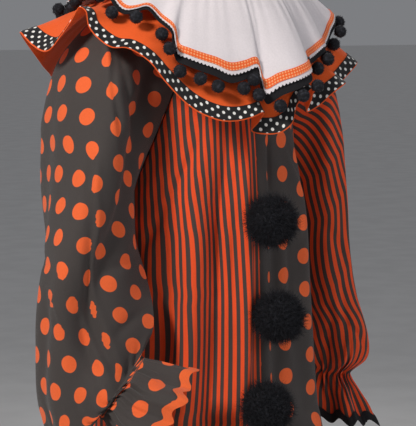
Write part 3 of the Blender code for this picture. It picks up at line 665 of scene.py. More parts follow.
class Shader:  # one material
    def __init__(self, name, **constants):
        self.material = bpy.data.materials.new(name)
        self.material.use_nodes = True
        self.tree = self.material.node_tree
        self.main = self.feed(self.tree.nodes["Principled BSDF"], constants)

    def feed(self, made, values):  # links and numbers for a node's sockets, by place or name
        for key, value in values.items():
            socket = made.inputs[key.replace("_", " ") if isinstance(key, str) else key]
            if isinstance(value, Wire):
                self.tree.links.new(value.socket, socket)
            else:
                socket.default_value = value
        return made

    def node(self, kind, settings, *values, **named):
        made = self.tree.nodes.new("ShaderNode" + kind)
        for key, value in settings.items():
            setattr(made, key, value)
        return self.feed(made, {**dict(enumerate(values)), **named})

    def add(self, kind, settings, *values, output=0, **named):
        return Wire(self, self.node(kind, settings, *values, **named).outputs[output])

    def blend(self, share, low, high):  # between two colours
        made = self.node("Mix", {"data_type": "RGBA"})
        return Wire(self, self.feed(made, {0: share, 6: (*low, 1), 7: (*high, 1)}).outputs[2])

    def cloth(self):  # the two ways along the flat cloth, in metres
        split = self.node("SeparateXYZ", {}, self.add("UVMap", {"uv_map": "cloth"}))
        return Wire(self, split.outputs[0]), Wire(self, split.outputs[1])

    def noise(self, scale, detail=3.0):
        place = self.add("TexCoord", {}, output=3)
        return self.add("TexNoise", {}, Vector=place, Scale=scale, Detail=detail, Roughness=0.5)

    def fit(self, **links):
        self.feed(self.main, links)
        return self.material

    def bump(self, height, distance):
        return self.add("Bump", {}, Strength=1.0, Distance=distance, Height=height)


def nearDots(u, v, wide, tall):  # distance to the nearest dot of a half drop repeat
    def away(x, y):
        x = (x / wide).maths("PINGPONG", 0.5) * wide
        y = (y / tall).maths("PINGPONG", 0.5) * tall
        return (x * x + y * y).maths("SQRT")

    return away(u, v).maths("MINIMUM", away(u + wide / 2, v + tall / 2))


cotton = {  # scales are those of the noise
    "thread": 0.0005,
    "threadHeight": 0.25,
    "slubScale": 260.0,
    "creaseScale": 38.0,
    "creaseHeight": 2.2,
    "wornScale": 9.0,
    "worn": 0.22,
    "speckScale": 420.0,
    "speck": 0.16,
    "shade": 0.81,
    "roughScale": 60.0,
    "roughSpread": 0.14,
    "sheenRoughness": 0.5,
    "gloss": 0.25,
}


def weave(shader, u, v):  # threads over and under, and the slight unevenness of cotton
    warp = (u * (math.pi / cotton["thread"])).maths("SINE")
    weft = (v * (math.pi / cotton["thread"])).maths("SINE")
    fine = warp * weft * cotton["threadHeight"] + shader.noise(cotton["slubScale"], 4.0)
    return fine + shader.noise(cotton["creaseScale"], 3.0) * cotton["creaseHeight"]


colours = {
    "stripe": (0.81, 0.080, 0.017),
    "stripeGround": (0.058, 0.043, 0.038),
    "dot": (0.82, 0.128, 0.031),
    "dotGround": (0.055, 0.046, 0.043),
    "fur": (0.008, 0.008, 0.011),
    # painted highlight: lighter blue-grey patches on the black fur, spread at random
    "furPaintedHighlight": (0.034, 0.036, 0.046),
    "pinDot": (0.86, 0.84, 0.80),
    "ribbon": (0.012, 0.011, 0.012),
    "fleck": (0.90, 0.13, 0.020),
    "fleckPale": (0.95, 0.46, 0.22),
}
prints = {  # repeats and sizes of the printed patterns
    "stripe": inch / 2,
    "stripeEdge": (0.235, 0.265),
    "wander": 0.0008,  # how far a stripe's edges stray
    "wanderScale": 14.0,
    "dotWide": 3.5 * inch,
    "dotTall": 2 * inch,
    "dotRadius": 0.0124,
    "dotEdge": 0.0003,
    "pinWide": 0.0185,
    "pinTall": 0.0145,
    "pinRadius": 0.0026,
    "pinEdge": 0.0003,
    "pinFrom": 0.0040,
    "fleckWide": 0.0048,
    "fleckTall": 0.0046,
    "fleckEdge": (0.52, 0.82),
}


def cottonFinish(name, paint, roughness=0.82, height=0.00022, sheen=0.10):  # height is the weave's
    sheens = {"Sheen_Weight": sheen, "Sheen_Roughness": cotton["sheenRoughness"]}
    shader = Shader(name, Specular_IOR_Level=cotton["gloss"], **sheens)
    u, v = shader.cloth()
    colour = paint(shader, u, v)
    worn = shader.noise(cotton["wornScale"], 4.0) * cotton["worn"]  # light and dark spots, large and small
    worn = worn + shader.noise(cotton["speckScale"], 2.0) * cotton["speck"] + cotton["shade"]
    tinted = shader.node("VectorMath", {"operation": "SCALE"}, colour, Scale=worn)
    spread = cotton["roughSpread"]
    rough = shader.noise(cotton["roughScale"]) * spread + (roughness - spread / 2)
    return shader.fit(
        Base_Color=Wire(shader, tinted.outputs[0]),
        Roughness=rough,
        Normal=shader.bump(weave(shader, u, v), height),
    )


def stripes(shader, u, v):
    wander = shader.noise(prints["wanderScale"]) * prints["wander"]
    band = ((u + wander) / prints["stripe"]).maths("PINGPONG", 0.5)
    return shader.blend(band.step(*prints["stripeEdge"]), colours["stripe"], colours["stripeGround"])


def roundDots(away, radius, edge):
    return away.step(radius - edge, radius + edge)


def dotsFrom(across, down, grainTurn=0, wide=prints["dotWide"], tall=prints["dotTall"]):
    # across and down are the place of one dot, and grainTurn is how far the print is turned
    c, s = math.cos(math.radians(grainTurn)), math.sin(math.radians(grainTurn))

    def dots(shader, u, v):
        away = nearDots(u * c + v * s - across, v * c - u * s - down, wide, tall)
        shown = roundDots(away, prints["dotRadius"], prints["dotEdge"])
        return shader.blend(shown, colours["dot"], colours["dotGround"])

    return dots


def plain(colour):  # one colour, a little uneven
    def paint(shader, u, v):
        return shader.blend(shader.noise(5.0).step(0.3, 0.7), colour, tuple(c * 0.93 for c in colour))

    return paint


# the black fur, with lighter blue-grey patches as painted highlights
def furPaint(shader, u, v):
    return shader.blend(shader.noise(240.0, 2.0).step(0.45, 0.75), colours["fur"], colours["furPaintedHighlight"])


def pinDots(shader, u, v):
    away = nearDots(u, v - prints["pinFrom"], prints["pinWide"], prints["pinTall"])
    shown = roundDots(away, prints["pinRadius"], prints["pinEdge"])
    return shader.blend(shown, colours["pinDot"], colours["ribbon"])


def flecks(shader, u, v):
    across = (u / prints["fleckWide"]).maths("PINGPONG", 0.5)
    checks = across + (v / prints["fleckTall"]).maths("PINGPONG", 0.5)
    return shader.blend(checks.step(*prints["fleckEdge"]), colours["fleck"], colours["fleckPale"])


def dress(piece, node):  # tells the frame of a piece
    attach(piece, "root")
    if node:
        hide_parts(node)


panelCreases = {  # x goes in from the side, over the panel's width, and y is the drop
    "front_right": creases(
        (0.205, 0.20, 0.206, 0.36, 0.007, -0.0026),
        (0.172, 0.300, 0.168, 0.468, 0.011, -0.0080),
        (0.168, 0.468, 0.160, 0.720, 0.012, -0.0075),
        (0.198, 0.340, 0.194, 0.500, 0.007, -0.0052),
        (0.102, 0.250, 0.081, 0.342, 0.009, -0.0050),
        (0.081, 0.342, 0.037, 0.404, 0.009, -0.0046),
        (0.199, 0.248, 0.196, 0.328, 0.005, -0.0022),
        (0.108, 0.438, 0.096, 0.560, 0.010, -0.0052),
        (0.185, 0.360, 0.182, 0.600, 0.008, 0.0050),
        (0.138, 0.340, 0.130, 0.640, 0.015, 0.0052),
        (0.217, 0.380, 0.208, 0.640, 0.007, 0.0050),
        (0.150, 0.700, 0.120, 0.980, 0.012, -0.0036),
        (0.070, 0.820, 0.090, 1.150, 0.012, -0.0030),
    ),
    "front_left": creases(
        (0.202, 0.236, 0.211, 0.316, 0.005, -0.0050),
        (0.206, 0.330, 0.200, 0.470, 0.008, -0.0030),
        (0.136, 0.336, 0.140, 0.492, 0.013, 0.0034),
        (0.140, 0.492, 0.138, 0.618, 0.013, 0.0030),
        (0.172, 0.350, 0.168, 0.560, 0.009, -0.0030),
        (0.098, 0.400, 0.090, 0.620, 0.010, -0.0030),
        (0.150, 0.240, 0.112, 0.320, 0.008, -0.0024),
        (0.060, 0.300, 0.036, 0.420, 0.010, -0.0026),
        (0.160, 0.720, 0.140, 1.020, 0.012, -0.0034),
        (0.080, 0.860, 0.072, 1.120, 0.011, 0.0030),
    ),
    "back_right": creases(
        (0.160, 0.15, 0.170, 0.40, 0.009, -0.0034),
        (0.170, 0.40, 0.156, 0.66, 0.009, -0.0028),
        (0.090, 0.26, 0.110, 0.47, 0.010, -0.0032),
        (0.204, 0.32, 0.208, 0.56, 0.007, -0.0026),
        (0.060, 0.44, 0.050, 0.64, 0.010, 0.0030),
        (0.130, 0.78, 0.118, 1.08, 0.012, -0.0032),
    ),
    "back_left": creases(
        (0.150, 0.16, 0.140, 0.44, 0.009, -0.0034),
        (0.196, 0.24, 0.202, 0.48, 0.007, -0.0028),
        (0.084, 0.30, 0.098, 0.54, 0.010, -0.0030),
        (0.120, 0.52, 0.132, 0.70, 0.010, 0.0030),
        (0.044, 0.40, 0.052, 0.60, 0.009, -0.0026),
        (0.100, 0.82, 0.122, 1.12, 0.012, -0.0032),
    ),
}
panel = {
    "columns": 76,
    "upperRows": 112,
    "lowerRows": 42,
    "width": 0.24,
    "edge": 0.0012,  # how far the cloth dips at its seams, and how wide the dips are
    "sideDip": 0.004,
    "middleDip": 0.003,
    "edgeFade": 0.05,
    "rippling": 0.0007,
    "ripplesFrom": 0.05,
    "ripplesOver": 0.3,
    "hemStitch": 0.028,
    "hemDent": 0.0007,
    "hemDip": 0.0025,
    "flat": (0.46, 1.38),
    "area": 0.40,
    "softening": 60,
    "foldsAt": 0.50,
}
panelPhases = {"front_right": 0.1, "front_left": 0.37, "back_right": 0.62, "back_left": 0.85}
grainShifts = {  # how far folds move the pattern, and where that starts and ends
    "underArm": {"shift": 0.022, "from": 0.24, "over": 0.20, "across": 0.66, "wide": 0.46},
    "centre": {"shift": 0.026, "at": 0.036, "over": 0.012},
    "lean": {"shift": 0.016, "at": 0.075, "over": 0.025, "from": 0.42, "down": 0.18},
}


def soften(points, closed):  # one pass of smoothing from column to column
    if closed:
        return (np.roll(points, 1, 0) + 2 * points + np.roll(points, -1, 0)) / 4
    middle = (points[:-2] + 2 * points[1:-1] + points[2:]) / 4
    return np.concatenate([points[:1], middle, points[-1:]])


def panelGrain(name, points, a, d):  # how far each place lies from the centre seam, laid flat
    drops = d[0]
    s = lengths(points, 0)
    smooth = points
    for _ in range(panel["softening"]):
        smooth = soften(smooth, False)
    soft = lengths(smooth, 0)
    taken = s - soft  # what the folds take up, half of it all the way down
    taken = (taken + taken[:, [np.searchsorted(drops, panel["foldsAt"])]]) / 2
    inner = np.searchsorted(drops, crotchTop)
    u = np.where(drops < crotchTop, soft[-1], soft[-1, inner]) - soft + taken[-1] - taken
    if name == "front_right":  # the cloth under the arm hangs slantwise from its fold
        arm = grainShifts["underArm"]
        down = rise((d - arm["from"]) / arm["over"])
        u = u - arm["shift"] * down * rise((arm["across"] - a) / arm["wide"])
    if name == "front_left":  # a deep crease by the centre, and folds that lean towards the side
        centre, lean = grainShifts["centre"], grainShifts["lean"]
        leaning = rise((u - lean["at"]) / lean["over"]) * rise((d - lean["from"]) / lean["down"])
        u = u + centre["shift"] * rise((centre["at"] - u) / centre["over"]) - lean["shift"] * leaning
    return u


def addPanel(name, finish):
    across = np.linspace(0, 1, panel["columns"])
    lower = np.linspace(crotch, hem, panel["lowerRows"])[1:]
    drops = np.concatenate([np.linspace(0, crotch, panel["upperRows"]), lower])
    a, d = np.meshgrid(across, drops, indexing="ij")
    points, normals = panelAt(name, a, d)
    x = a * panel["width"]
    extra = creaseSum(x, d, panelCreases[name])
    phase = panelPhases[name]
    ripples = hum(x * 3 + 0.4 * d, (5.1, phase, 1), (8.3, phase * 2, 0.6))
    extra = extra + panel["rippling"] * ripples * rise((d - panel["ripplesFrom"]) / panel["ripplesOver"])
    extra = extra * rise(a / panel["edgeFade"]) * rise((1 - a) / panel["edgeFade"])
    seams = bell(x / panel["sideDip"]) + bell((panel["width"] - x) / panel["middleDip"])
    extra = extra - panel["edge"] * seams
    extra = extra - panel["hemDent"] * bell((hem - panel["hemStitch"] - d) / panel["hemDip"])
    points = points + normals * extra[..., None]
    cloth = np.stack([panelGrain(name, points, a, d), -points[..., 2]], -1)
    piece = clothPiece("cloth_" + name, points, normals, cloth, finish)
    dress(piece, name)


sleeve = {
    "columns": {"right": 176, "left": 156},
    "upperRows": 84,
    "lowerRows": 62,
    "length": 0.72,
    "round": {"right": 0.48, "left": 0.42},
    "flat": {"right": (0.60, 0.80), "left": (0.52, 0.80)},
    "area": {"right": 0.40, "left": 0.33},
    "gatherFrom": 0.72,
    "wideTo": 0.80,  # below this the gathers take up the width that the cloth has here
    "skirtAt": 0.96,  # where the width of the flared cuff's cloth is taken
    "skirtFrom": 0.018,  # that width comes in from so far above the elastic, over so much
    "skirtOver": 0.030,
    "gathered": 0.8,
    "softening": 150,
    "gatherOver": 0.12,
    "fineFolds": 0.0022,
    "fineWaves": ((31, 0.1, 0.5), (23, 0.7, 0.5), (41, 0.3, 0.35)),
    "fineSway": 0.4,
    "cuffCalm": 0.72,  # how much flatter the fine folds are on the cuff, from where and over how much
    "cuffFrom": 0.01,
    "cuffOver": 0.09,
    "pinched": 0.0016,
    "pinchedOver": 0.035,
    "elasticDent": 0.0016,
    "elasticDip": 0.008,
    "seamFade": 0.03,
    "edgeDent": 0.0012,
    "edgeDip": 0.004,
    "tuckWidth": 0.006,
    "tuckEdge": 0.0055,
    "tuckEnds": 0.04,
    "springs": (44, 30),  # columns and rows that are laid flat by springs
    "springRounds": 600,
    "springPace": 1.4,
    "springFade": 0.09,
}
sleeveCreases = {
    "right": creases(
        (0.171, 0.164, 0.153, 0.196, 0.009, 0.0040),
        (0.153, 0.196, 0.135, 0.220, 0.009, 0.0045),
        (0.135, 0.220, 0.065, 0.239, 0.009, 0.0045),
        (0.065, 0.239, 0.036, 0.250, 0.008, 0.0035),
        (0.155, 0.150, 0.137, 0.182, 0.008, -0.0048),
        (0.137, 0.182, 0.114, 0.203, 0.008, -0.0050),
        (0.114, 0.203, 0.066, 0.209, 0.008, -0.0048),
        (0.140, 0.410, 0.061, 0.518, 0.008, -0.0042),
        (0.061, 0.518, 0.051, 0.572, 0.008, -0.0038),
        (0.080, 0.412, 0.028, 0.380, 0.008, -0.0036),
        (0.216, 0.333, 0.179, 0.355, 0.007, -0.0034),
        (0.251, 0.403, 0.153, 0.418, 0.008, -0.0040),
        (0.190, 0.450, 0.120, 0.500, 0.009, -0.0032),
        (0.024, 0.480, 0.060, 0.500, 0.010, -0.0036),
        (0.300, 0.250, 0.340, 0.420, 0.010, -0.0038),
        (0.380, 0.200, 0.400, 0.380, 0.010, -0.0034),
        (0.350, 0.450, 0.300, 0.560, 0.010, -0.0034),
        (0.110, 0.260, 0.100, 0.380, 0.014, 0.0034),
    ),
    "left": creases(
        (0.083, 0.463, 0.065, 0.569, 0.007, -0.0040),
        (0.074, 0.524, 0.118, 0.563, 0.007, -0.0036),
        (0.044, 0.461, 0.063, 0.533, 0.007, -0.0032),
        (0.019, 0.205, 0.082, 0.320, 0.009, -0.0038),
        (0.050, 0.333, 0.103, 0.430, 0.008, -0.0036),
        (0.061, 0.479, 0.029, 0.592, 0.007, -0.0034),
        (0.084, 0.535, 0.079, 0.630, 0.007, -0.0032),
        (0.110, 0.300, 0.120, 0.440, 0.010, 0.0032),
        (0.260, 0.200, 0.230, 0.380, 0.010, -0.0036),
        (0.330, 0.300, 0.350, 0.500, 0.010, -0.0034),
        (0.200, 0.420, 0.250, 0.560, 0.009, -0.0032),
    ),
}


sleeveTucks = {  # folds that hide a strip of cloth; at is how far round each lies at a place down
    "right": [
        {
            "down": (0.275, 0.325, 0.360, 0.393, 0.437, 0.462, 0.512, 0.580),
            "at": (0.165, 0.152, 0.128, 0.112, 0.094, 0.083, 0.066, 0.052),
            "hidden": 0.019,
            "height": 0.0042,
        },
        {
            "down": (0.400, 0.412, 0.425, 0.443, 0.462, 0.487, 0.560),
            "at": (0.180, 0.162, 0.143, 0.123, 0.107, 0.093, 0.070),
            "hidden": 0.007,
            "height": 0.0036,
        },
        {
            "down": (0.415, 0.425, 0.437, 0.450, 0.500),
            "at": (0.215, 0.195, 0.176, 0.151, 0.110),
            "hidden": 0.006,
            "height": 0.0030,
        },
        {
            "down": (0.110, 0.169, 0.206, 0.260),
            "at": (0.172, 0.165, 0.154, 0.124),
            "hidden": 0.014,
            "height": -0.0036,
        },
    ],
    "left": [],
}


def tuckPlaces(side, x, y):  # for each fold: how far past it a place lies, and how full it is there
    ends = sleeve["tuckEnds"]
    for fold in sleeveTucks[side]:
        shown = rise((y - fold["down"][0]) / ends) * rise((fold["down"][-1] - y) / ends)
        yield fold, x - np.interp(y, fold["down"], fold["at"]), shown


def sleeveTwist(side, v):  # how far the cloth's pattern has turned round the arm, in metres
    return -np.interp(v, (0.15, 0.34, 0.46), (0, 0.070, 0.090)) * (side == "left")


def sleeveFine(side, around, along):
    points, normals = sleeveAt(side, around, along)
    x, y = around * sleeve["round"][side], along * sleeve["length"]
    extra = creaseSum(x, y, sleeveCreases[side])
    for fold, past, shown in tuckPlaces(side, x, y):
        off = past / sleeve["tuckWidth"]
        extra = extra - fold["height"] * shown * off * np.exp(0.5 - off**2 / 2)
    past = along - elastic
    gathered = rise((along - sleeve["gatherFrom"]) / sleeve["gatherOver"])
    onCuff = rise((past - sleeve["cuffFrom"]) / sleeve["cuffOver"])
    gathered = gathered * (1 - sleeve["cuffCalm"] * onCuff)
    fine = hum(around, *sleeve["fineWaves"]) * (1 + sleeve["fineSway"] * hum(around, (5, 0.2, 1)))
    pinched = bell(past / sleeve["pinchedOver"])
    extra = extra + (sleeve["fineFolds"] * gathered + sleeve["pinched"] * pinched) * fine
    extra = extra - sleeve["elasticDent"] * bell(past / sleeve["elasticDip"])
    extra = extra * rise(around / sleeve["seamFade"]) * rise((1 - around) / sleeve["seamFade"])
    edge = bell(x / sleeve["edgeDip"]) + bell((sleeve["round"][side] - x) / sleeve["edgeDip"])
    extra = extra - sleeve["edgeDent"] * edge * (along < capEnd)
    return points + normals * extra[..., None], normals


def laidFlat(points, cloth, gathered):  # how far springs of the true lengths move each place
    n, m = points.shape[:2]
    rows = unit(np.gradient(points, axis=0))
    springs = []
    for di, dj in ((1, 0), (0, 1), (1, 1), (1, -1)):  # to the neighbour so many columns and rows on
        here = slice(0, n - di), slice(max(0, -dj), m - max(0, dj))
        there = slice(di, n), slice(max(0, dj), m - max(0, -dj))
        step = points[there] - points[here]
        side = np.sum(step * rows[here], -1)
        wide = gathered[here[1]][None, :]
        length = np.sqrt(np.sum(step * step, -1) + (wide * wide - 1) * side * side)
        springs.append((here, there, length))
    flat = cloth.copy()
    for _ in range(sleeve["springRounds"]):
        move, count = np.zeros_like(flat), np.zeros(flat.shape[:2])
        for here, there, length in springs:
            step = flat[there] - flat[here]
            now = np.maximum(np.linalg.norm(step, axis=-1), 1e-9)
            pull = step * (1 - length / now)[..., None] / 2
            move[here] += pull
            move[there] -= pull
            count[here] += 1
            count[there] += 1
        flat = flat + sleeve["springPace"] * move / count[..., None]
    return flat - cloth


def someOf(count, wanted):  # places spread evenly over a row of count, with both its ends
    return np.unique(np.linspace(0, count - 1, wanted).round().astype(int))


def spread(coarse, fine, values, axis):  # values at coarse places, read at fine ones
    return np.apply_along_axis(lambda line: np.interp(fine, coarse, line), axis, values)


def sleeveCloth(side, around, along, points):  # where each point of a sleeve lies on the flat cloth
    a, b = np.meshgrid(around, along, indexing="ij")
    s = lengths(points, 0)
    puff, skirt = s[-1][np.searchsorted(along, (sleeve["wideTo"], sleeve["skirtAt"]))]
    full = np.where(along < sleeve["wideTo"], s[-1], puff)
    full = full + (skirt - full) * rise((along - elastic + sleeve["skirtFrom"]) / sleeve["skirtOver"])
    down = lengths(points, 1)
    start = np.searchsorted(along, capEnd)
    middle = len(around) // 2
    v = down - down[:, [start]] + down[middle, start]
    u = (s / s[-1] - 0.5) * full + sleeveTwist(side, v)
    if side == "right":  # round dots need the cloth laid flat truly, above and below the elastic
        first = np.searchsorted(along, elastic)
        smooth = sleeveAt(side, a, b)[0][:-1, first:]
        for _ in range(sleeve["softening"]):
            smooth = soften(smooth, True)
        step = np.diff(smooth, axis=1)
        row = np.roll(smooth, -1, 0) - np.roll(smooth, 1, 0)
        step, row = (np.concatenate([part, part[:1]]) for part in (step, row[:, 1:]))
        slant = np.sum(step * unit(row), -1)
        square = np.sqrt(np.maximum(np.sum(step * step, -1) - slant * slant, 0))
        u[:, first + 1 :] = u[:, [first]] * sleeve["gathered"] + np.cumsum(slant, 1)
        v[:, first + 1 :] = v[:, first].mean() + np.cumsum(square, 1)
        columns = someOf(len(around), sleeve["springs"][0])
        rows = someOf(first - 1, sleeve["springs"][1])
        part = np.ix_(columns, rows)
        moved = laidFlat(points[part], np.stack([u, v], -1)[part], (full / s[-1])[rows])
        moved = spread(columns, np.arange(len(around)), moved, 0)
        moved = spread(rows, np.arange(len(along)), moved, 1)
        moved = moved * rise((elastic - along) / sleeve["springFade"])[None, :, None]
        u, v = u + moved[..., 0], v + moved[..., 1]
    return np.stack([u, v], -1)


def addSleeve(side, finish):
    around = np.linspace(0, 1, sleeve["columns"][side])
    lower = np.linspace(sleeve["gatherFrom"], 1, sleeve["lowerRows"])[1:]
    along = np.concatenate([np.linspace(0, sleeve["gatherFrom"], sleeve["upperRows"]), lower])
    a, b = np.meshgrid(around, along, indexing="ij")
    points, normals = sleeveFine(side, a, b)
    cloth = sleeveCloth(side, around, along, points)
    for fold, past, shown in tuckPlaces(side, a * sleeve["round"][side], b * sleeve["length"]):
        cut = rise(past / sleeve["tuckEdge"] + 0.5) - (fold["height"] < 0)
        cloth[..., 0] = cloth[..., 0] + fold["hidden"] * shown * cut
    name = "sleeve_" + side
    piece = clothPiece("cloth_" + name, points, normals, cloth, finish)
    dress(piece, name)


braid = {
    "width": 0.022,
    "swing": 0.0075,
    "waves": 12,
    "reach": 0.65,
    "steps": 288,
    "rows": 5,
    "lift": 0.0022,
    "swell": 0.0006,
    "flat": (0.483, 0.022),
}


def addRickrack(side, finish):
    columns = np.arange(braid["steps"]) / braid["steps"]
    a, w = np.meshgrid(columns, np.linspace(-0.5, 0.5, braid["rows"]), indexing="ij")
    swing = braid["swing"] * np.cos(2 * math.pi * braid["waves"] * a)
    place = 1 + (w * braid["width"] + swing) / braid["reach"]
    points, normals = sleeveFine(side, a, np.minimum(place, 1.0))
    tip = sleeveFine(side, a, 0 * a + 0.999)[0]
    last = sleeveFine(side, a, 0 * a + 1.0)[0]
    points = points + (last - tip) * (np.maximum(place - 1, 0) / 0.001)[..., None]
    points = points + normals * (braid["lift"] + braid["swell"] * np.cos(w * 2.6))[..., None]
    s = lengths(points, 0)
    cloth = np.stack([s, w * braid["width"]], -1)
    name = "rickrack_" + side
    piece = clothPiece("braid_" + name, points, normals, cloth, finish, trimWall, True)
    dress(piece, name)


neckband = {
    "inset": 0.0025,
    "low": 0.003,
    "high": 0.024,
    "stitches": (0.0055, 0.0215),
    "dent": 0.0007,
    "dip": 0.0012,
    "flat": (0.52, 0.021),
}
ruffDetail = {
    "gathers": 0.0013,
    "gatherWaves": ((67, 0.1, 0.6), (83, 0.6, 0.5), (51, 0.3, 0.5)),
    "edge": 0.0010,
    "edgeWaves": ((23, 0.2, 0.5), (31, 0.8, 0.4), (14, 0.5, 0.4)),
    "from": 0.08,
}


def ruffFine(layer, azimuth, out):  # with the fine gathers at the neck and a little sway at the edge
    points, normals = ruffAt(layer, azimuth, out)
    x = azimuth / 360
    gathers = hum(x, *ruffDetail["gatherWaves"]) * ruffDetail["gathers"] * np.clip(1 - out, 0, 1) ** 1.2
    edge = hum(x, *ruffDetail["edgeWaves"]) * ruffDetail["edge"] * np.clip(out, 0, 1.1) ** 2
    return points + normals * ((gathers + edge) * rise(out / ruffDetail["from"]))[..., None], normals


def addRuffBand(name, node, layer, outs, finish, slot, lift, thick, flat, rests):
    count = ruffs[layer]["columns"]
    a, o = np.meshgrid(np.arange(count) * 360 / count - 180, np.linspace(*outs), indexing="ij")
    points, normals = ruffFine(layer, a, o)
    points = points + normals * lift
    s = lengths(points, 0)[:, [-1]]
    print(name, "edge", round(s[-1, 0], 3), "depth", round(lengths(points, 1)[:, -1].mean(), 4))
    cloth = np.stack([s + 0 * o, lengths(points, 1)], -1)
    piece = clothPiece(name, points, normals, cloth, finish, thick, True)
    dress(piece, node)


fringe = {
    "tape": (0.963, 1.040),
    "lift": -0.0027,
    "tapeWall": 0.0011,
    "centre": 0.0115,
    "apart": 0.0305,
    "radius": 0.0098,
    "room": 2.1,  # balls nearer than so many radii are left out
    "fur": {"Hairs": 130000.0, "Length": 0.0026, "Thickness": 0.00050, "Tangle": 0.8, "Seed": 11},
}
pompom = {
    "radius": 0.0325,
    "behind": 0.0295,  # how far back from its centre the core is cut flat
    "inFront": 0.030,  # how far its centre lies in front of the solid's back
    "fur": {"Hairs": 290000.0, "Length": 0.0155, "Thickness": 0.00050, "Tangle": 0.95},
}


def ballPlaces():  # evenly along the tape's lower edge
    azimuth = np.arange(1440) / 4
    points, normals = ruffAt("white", azimuth, np.array(fringe["tape"][1]))
    edge = points + normals * (fringe["lift"] - fringe["tapeWall"] / 2)
    ahead = np.roll(edge, -1, 0) - edge
    out = unit(np.cross(ahead, normals))
    out = out * np.sign(np.sum(out[:, :2] * edge[:, :2], -1))[:, None]
    centres = edge + out * fringe["centre"]
    along = np.cumsum(np.linalg.norm(ahead, axis=-1))
    spots = np.searchsorted(along, np.arange(fringe["apart"] / 2, along[-1], fringe["apart"]))
    kept = []
    for centre in centres[spots]:
        if all(np.linalg.norm(centre - other) > fringe["room"] * fringe["radius"] for other in kept):
            kept.append(centre)
    return kept


def geometryNode(tree, kind, settings, *values, **named):
    made = tree.nodes.new(kind)
    for key, value in settings.items():
        setattr(made, key, value)
    for key, value in {**dict(enumerate(values)), **named}.items():
        socket = made.inputs[key.replace("_", " ") if isinstance(key, str) else key]
        if isinstance(value, bpy.types.NodeSocket):
            tree.links.new(value, socket)
        else:
            socket.default_value = value
    return made


hairForm = {"tip": 0.00004, "bend": 0.55, "shortest": 0.62, "longest": 1.08}


def furGroup():  # hairs that stand on a core, each one a thin bent cone
    tree = bpy.data.node_groups.new("fur", "GeometryNodeTree")
    face = tree.interface
    face.new_socket(name="Core", in_out="INPUT", socket_type="NodeSocketGeometry")
    for name in ("Hairs", "Length", "Thickness", "Tangle"):
        face.new_socket(name=name, in_out="INPUT", socket_type="NodeSocketFloat")
    face.new_socket(name="Seed", in_out="INPUT", socket_type="NodeSocketInt")
    face.new_socket(name="Finish", in_out="INPUT", socket_type="NodeSocketMaterial")
    face.new_socket(name="Fur", in_out="OUTPUT", socket_type="NodeSocketGeometry")
    given = tree.nodes.new("NodeGroupInput").outputs
    add = partial(geometryNode, tree)

    def maths(operation, *values):
        return add("ShaderNodeMath", {"operation": operation}, *values).outputs[0]

    points = add(
        "GeometryNodeDistributePointsOnFaces",
        {},
        Mesh=given["Core"],
        Density=given["Hairs"],
        Seed=given["Seed"],
    ).outputs
    hair = add(
        "GeometryNodeMeshCone",
        {"fill_type": "NONE"},
        Vertices=3,
        Side_Segments=3,
        Radius_Top=hairForm["tip"],
        Radius_Bottom=given["Thickness"],
        Depth=given["Length"],
    )
    place = add("GeometryNodeInputPosition", {}).outputs[0]
    height = add("ShaderNodeSeparateXYZ", {}, place).outputs[2]
    bend = maths("POWER", maths("DIVIDE", height, given["Length"]), 2)
    bend = maths("MULTIPLY", maths("MULTIPLY", bend, given["Length"]), hairForm["bend"])
    offset = add("ShaderNodeCombineXYZ", {}, X=bend).outputs[0]
    bent = add("GeometryNodeSetPosition", {}, Geometry=hair.outputs["Mesh"], Offset=offset).outputs[0]
    limits = (-1, -1, -math.pi), (1, 1, math.pi)
    turn = add("FunctionNodeRandomValue", {"data_type": "FLOAT_VECTOR"}, *limits, Seed=given["Seed"])
    wide = add("ShaderNodeCombineXYZ", {}, X=given["Tangle"], Y=given["Tangle"], Z=1.0).outputs[0]
    scaled = add("ShaderNodeVectorMath", {"operation": "MULTIPLY"}, turn.outputs[0], wide).outputs[0]
    local = {"rotation_space": "LOCAL"}
    turned = add("FunctionNodeRotateRotation", local, points["Rotation"], scaled).outputs[0]
    size = add("FunctionNodeRandomValue", {"data_type": "FLOAT"}, Seed=given["Seed"])
    size.inputs[2].default_value = hairForm["shortest"]
    size.inputs[3].default_value = hairForm["longest"]
    hairs = add(
        "GeometryNodeInstanceOnPoints",
        {},
        Points=points["Points"],
        Instance=bent,
        Rotation=turned,
        Scale=size.outputs[1],
    )
    both = add("GeometryNodeJoinGeometry", {}, hairs.outputs[0])
    tree.links.new(given["Core"], both.inputs[0])
    real = add("GeometryNodeRealizeInstances", {}, both.outputs[0]).outputs[0]
    painted = add("GeometryNodeSetMaterial", {}, Geometry=real, Material=given["Finish"]).outputs[0]
    tree.links.new(painted, tree.nodes.new("NodeGroupOutput").inputs[0])
    return tree


def furry(name, core, group, **values):
    made = bpy.data.objects.new(name, core)
    scene.collection.objects.link(made)
    grown = made.modifiers.new("fur", "NODES")
    grown.node_group = group
    for item in group.interface.items_tree:
        if item.in_out == "INPUT" and item.name in values:
            grown[item.identifier] = values[item.name]
    bpy.context.view_layer.update()
    graph = bpy.context.evaluated_depsgraph_get()
    mesh = bpy.data.meshes.new_from_object(made.evaluated_get(graph))
    made.modifiers.clear()
    made.data = mesh
    mesh.name = name
    mesh.polygons.foreach_set("use_smooth", [True] * len(mesh.polygons))
    return made


def balls(places, radius, level, flat=math.inf):  # one core for all; each is cut flat behind at flat
    mesh = bpy.data.meshes.new("core")
    shape = bmesh.new()
    for place in places:
        made = bmesh.ops.create_icosphere(shape, subdivisions=level, radius=radius)
        for vert in made["verts"]:
            vert.co.y = min(vert.co.y, flat)
            vert.co += Vector(place)
    shape.to_mesh(mesh)
    shape.free()
    return mesh


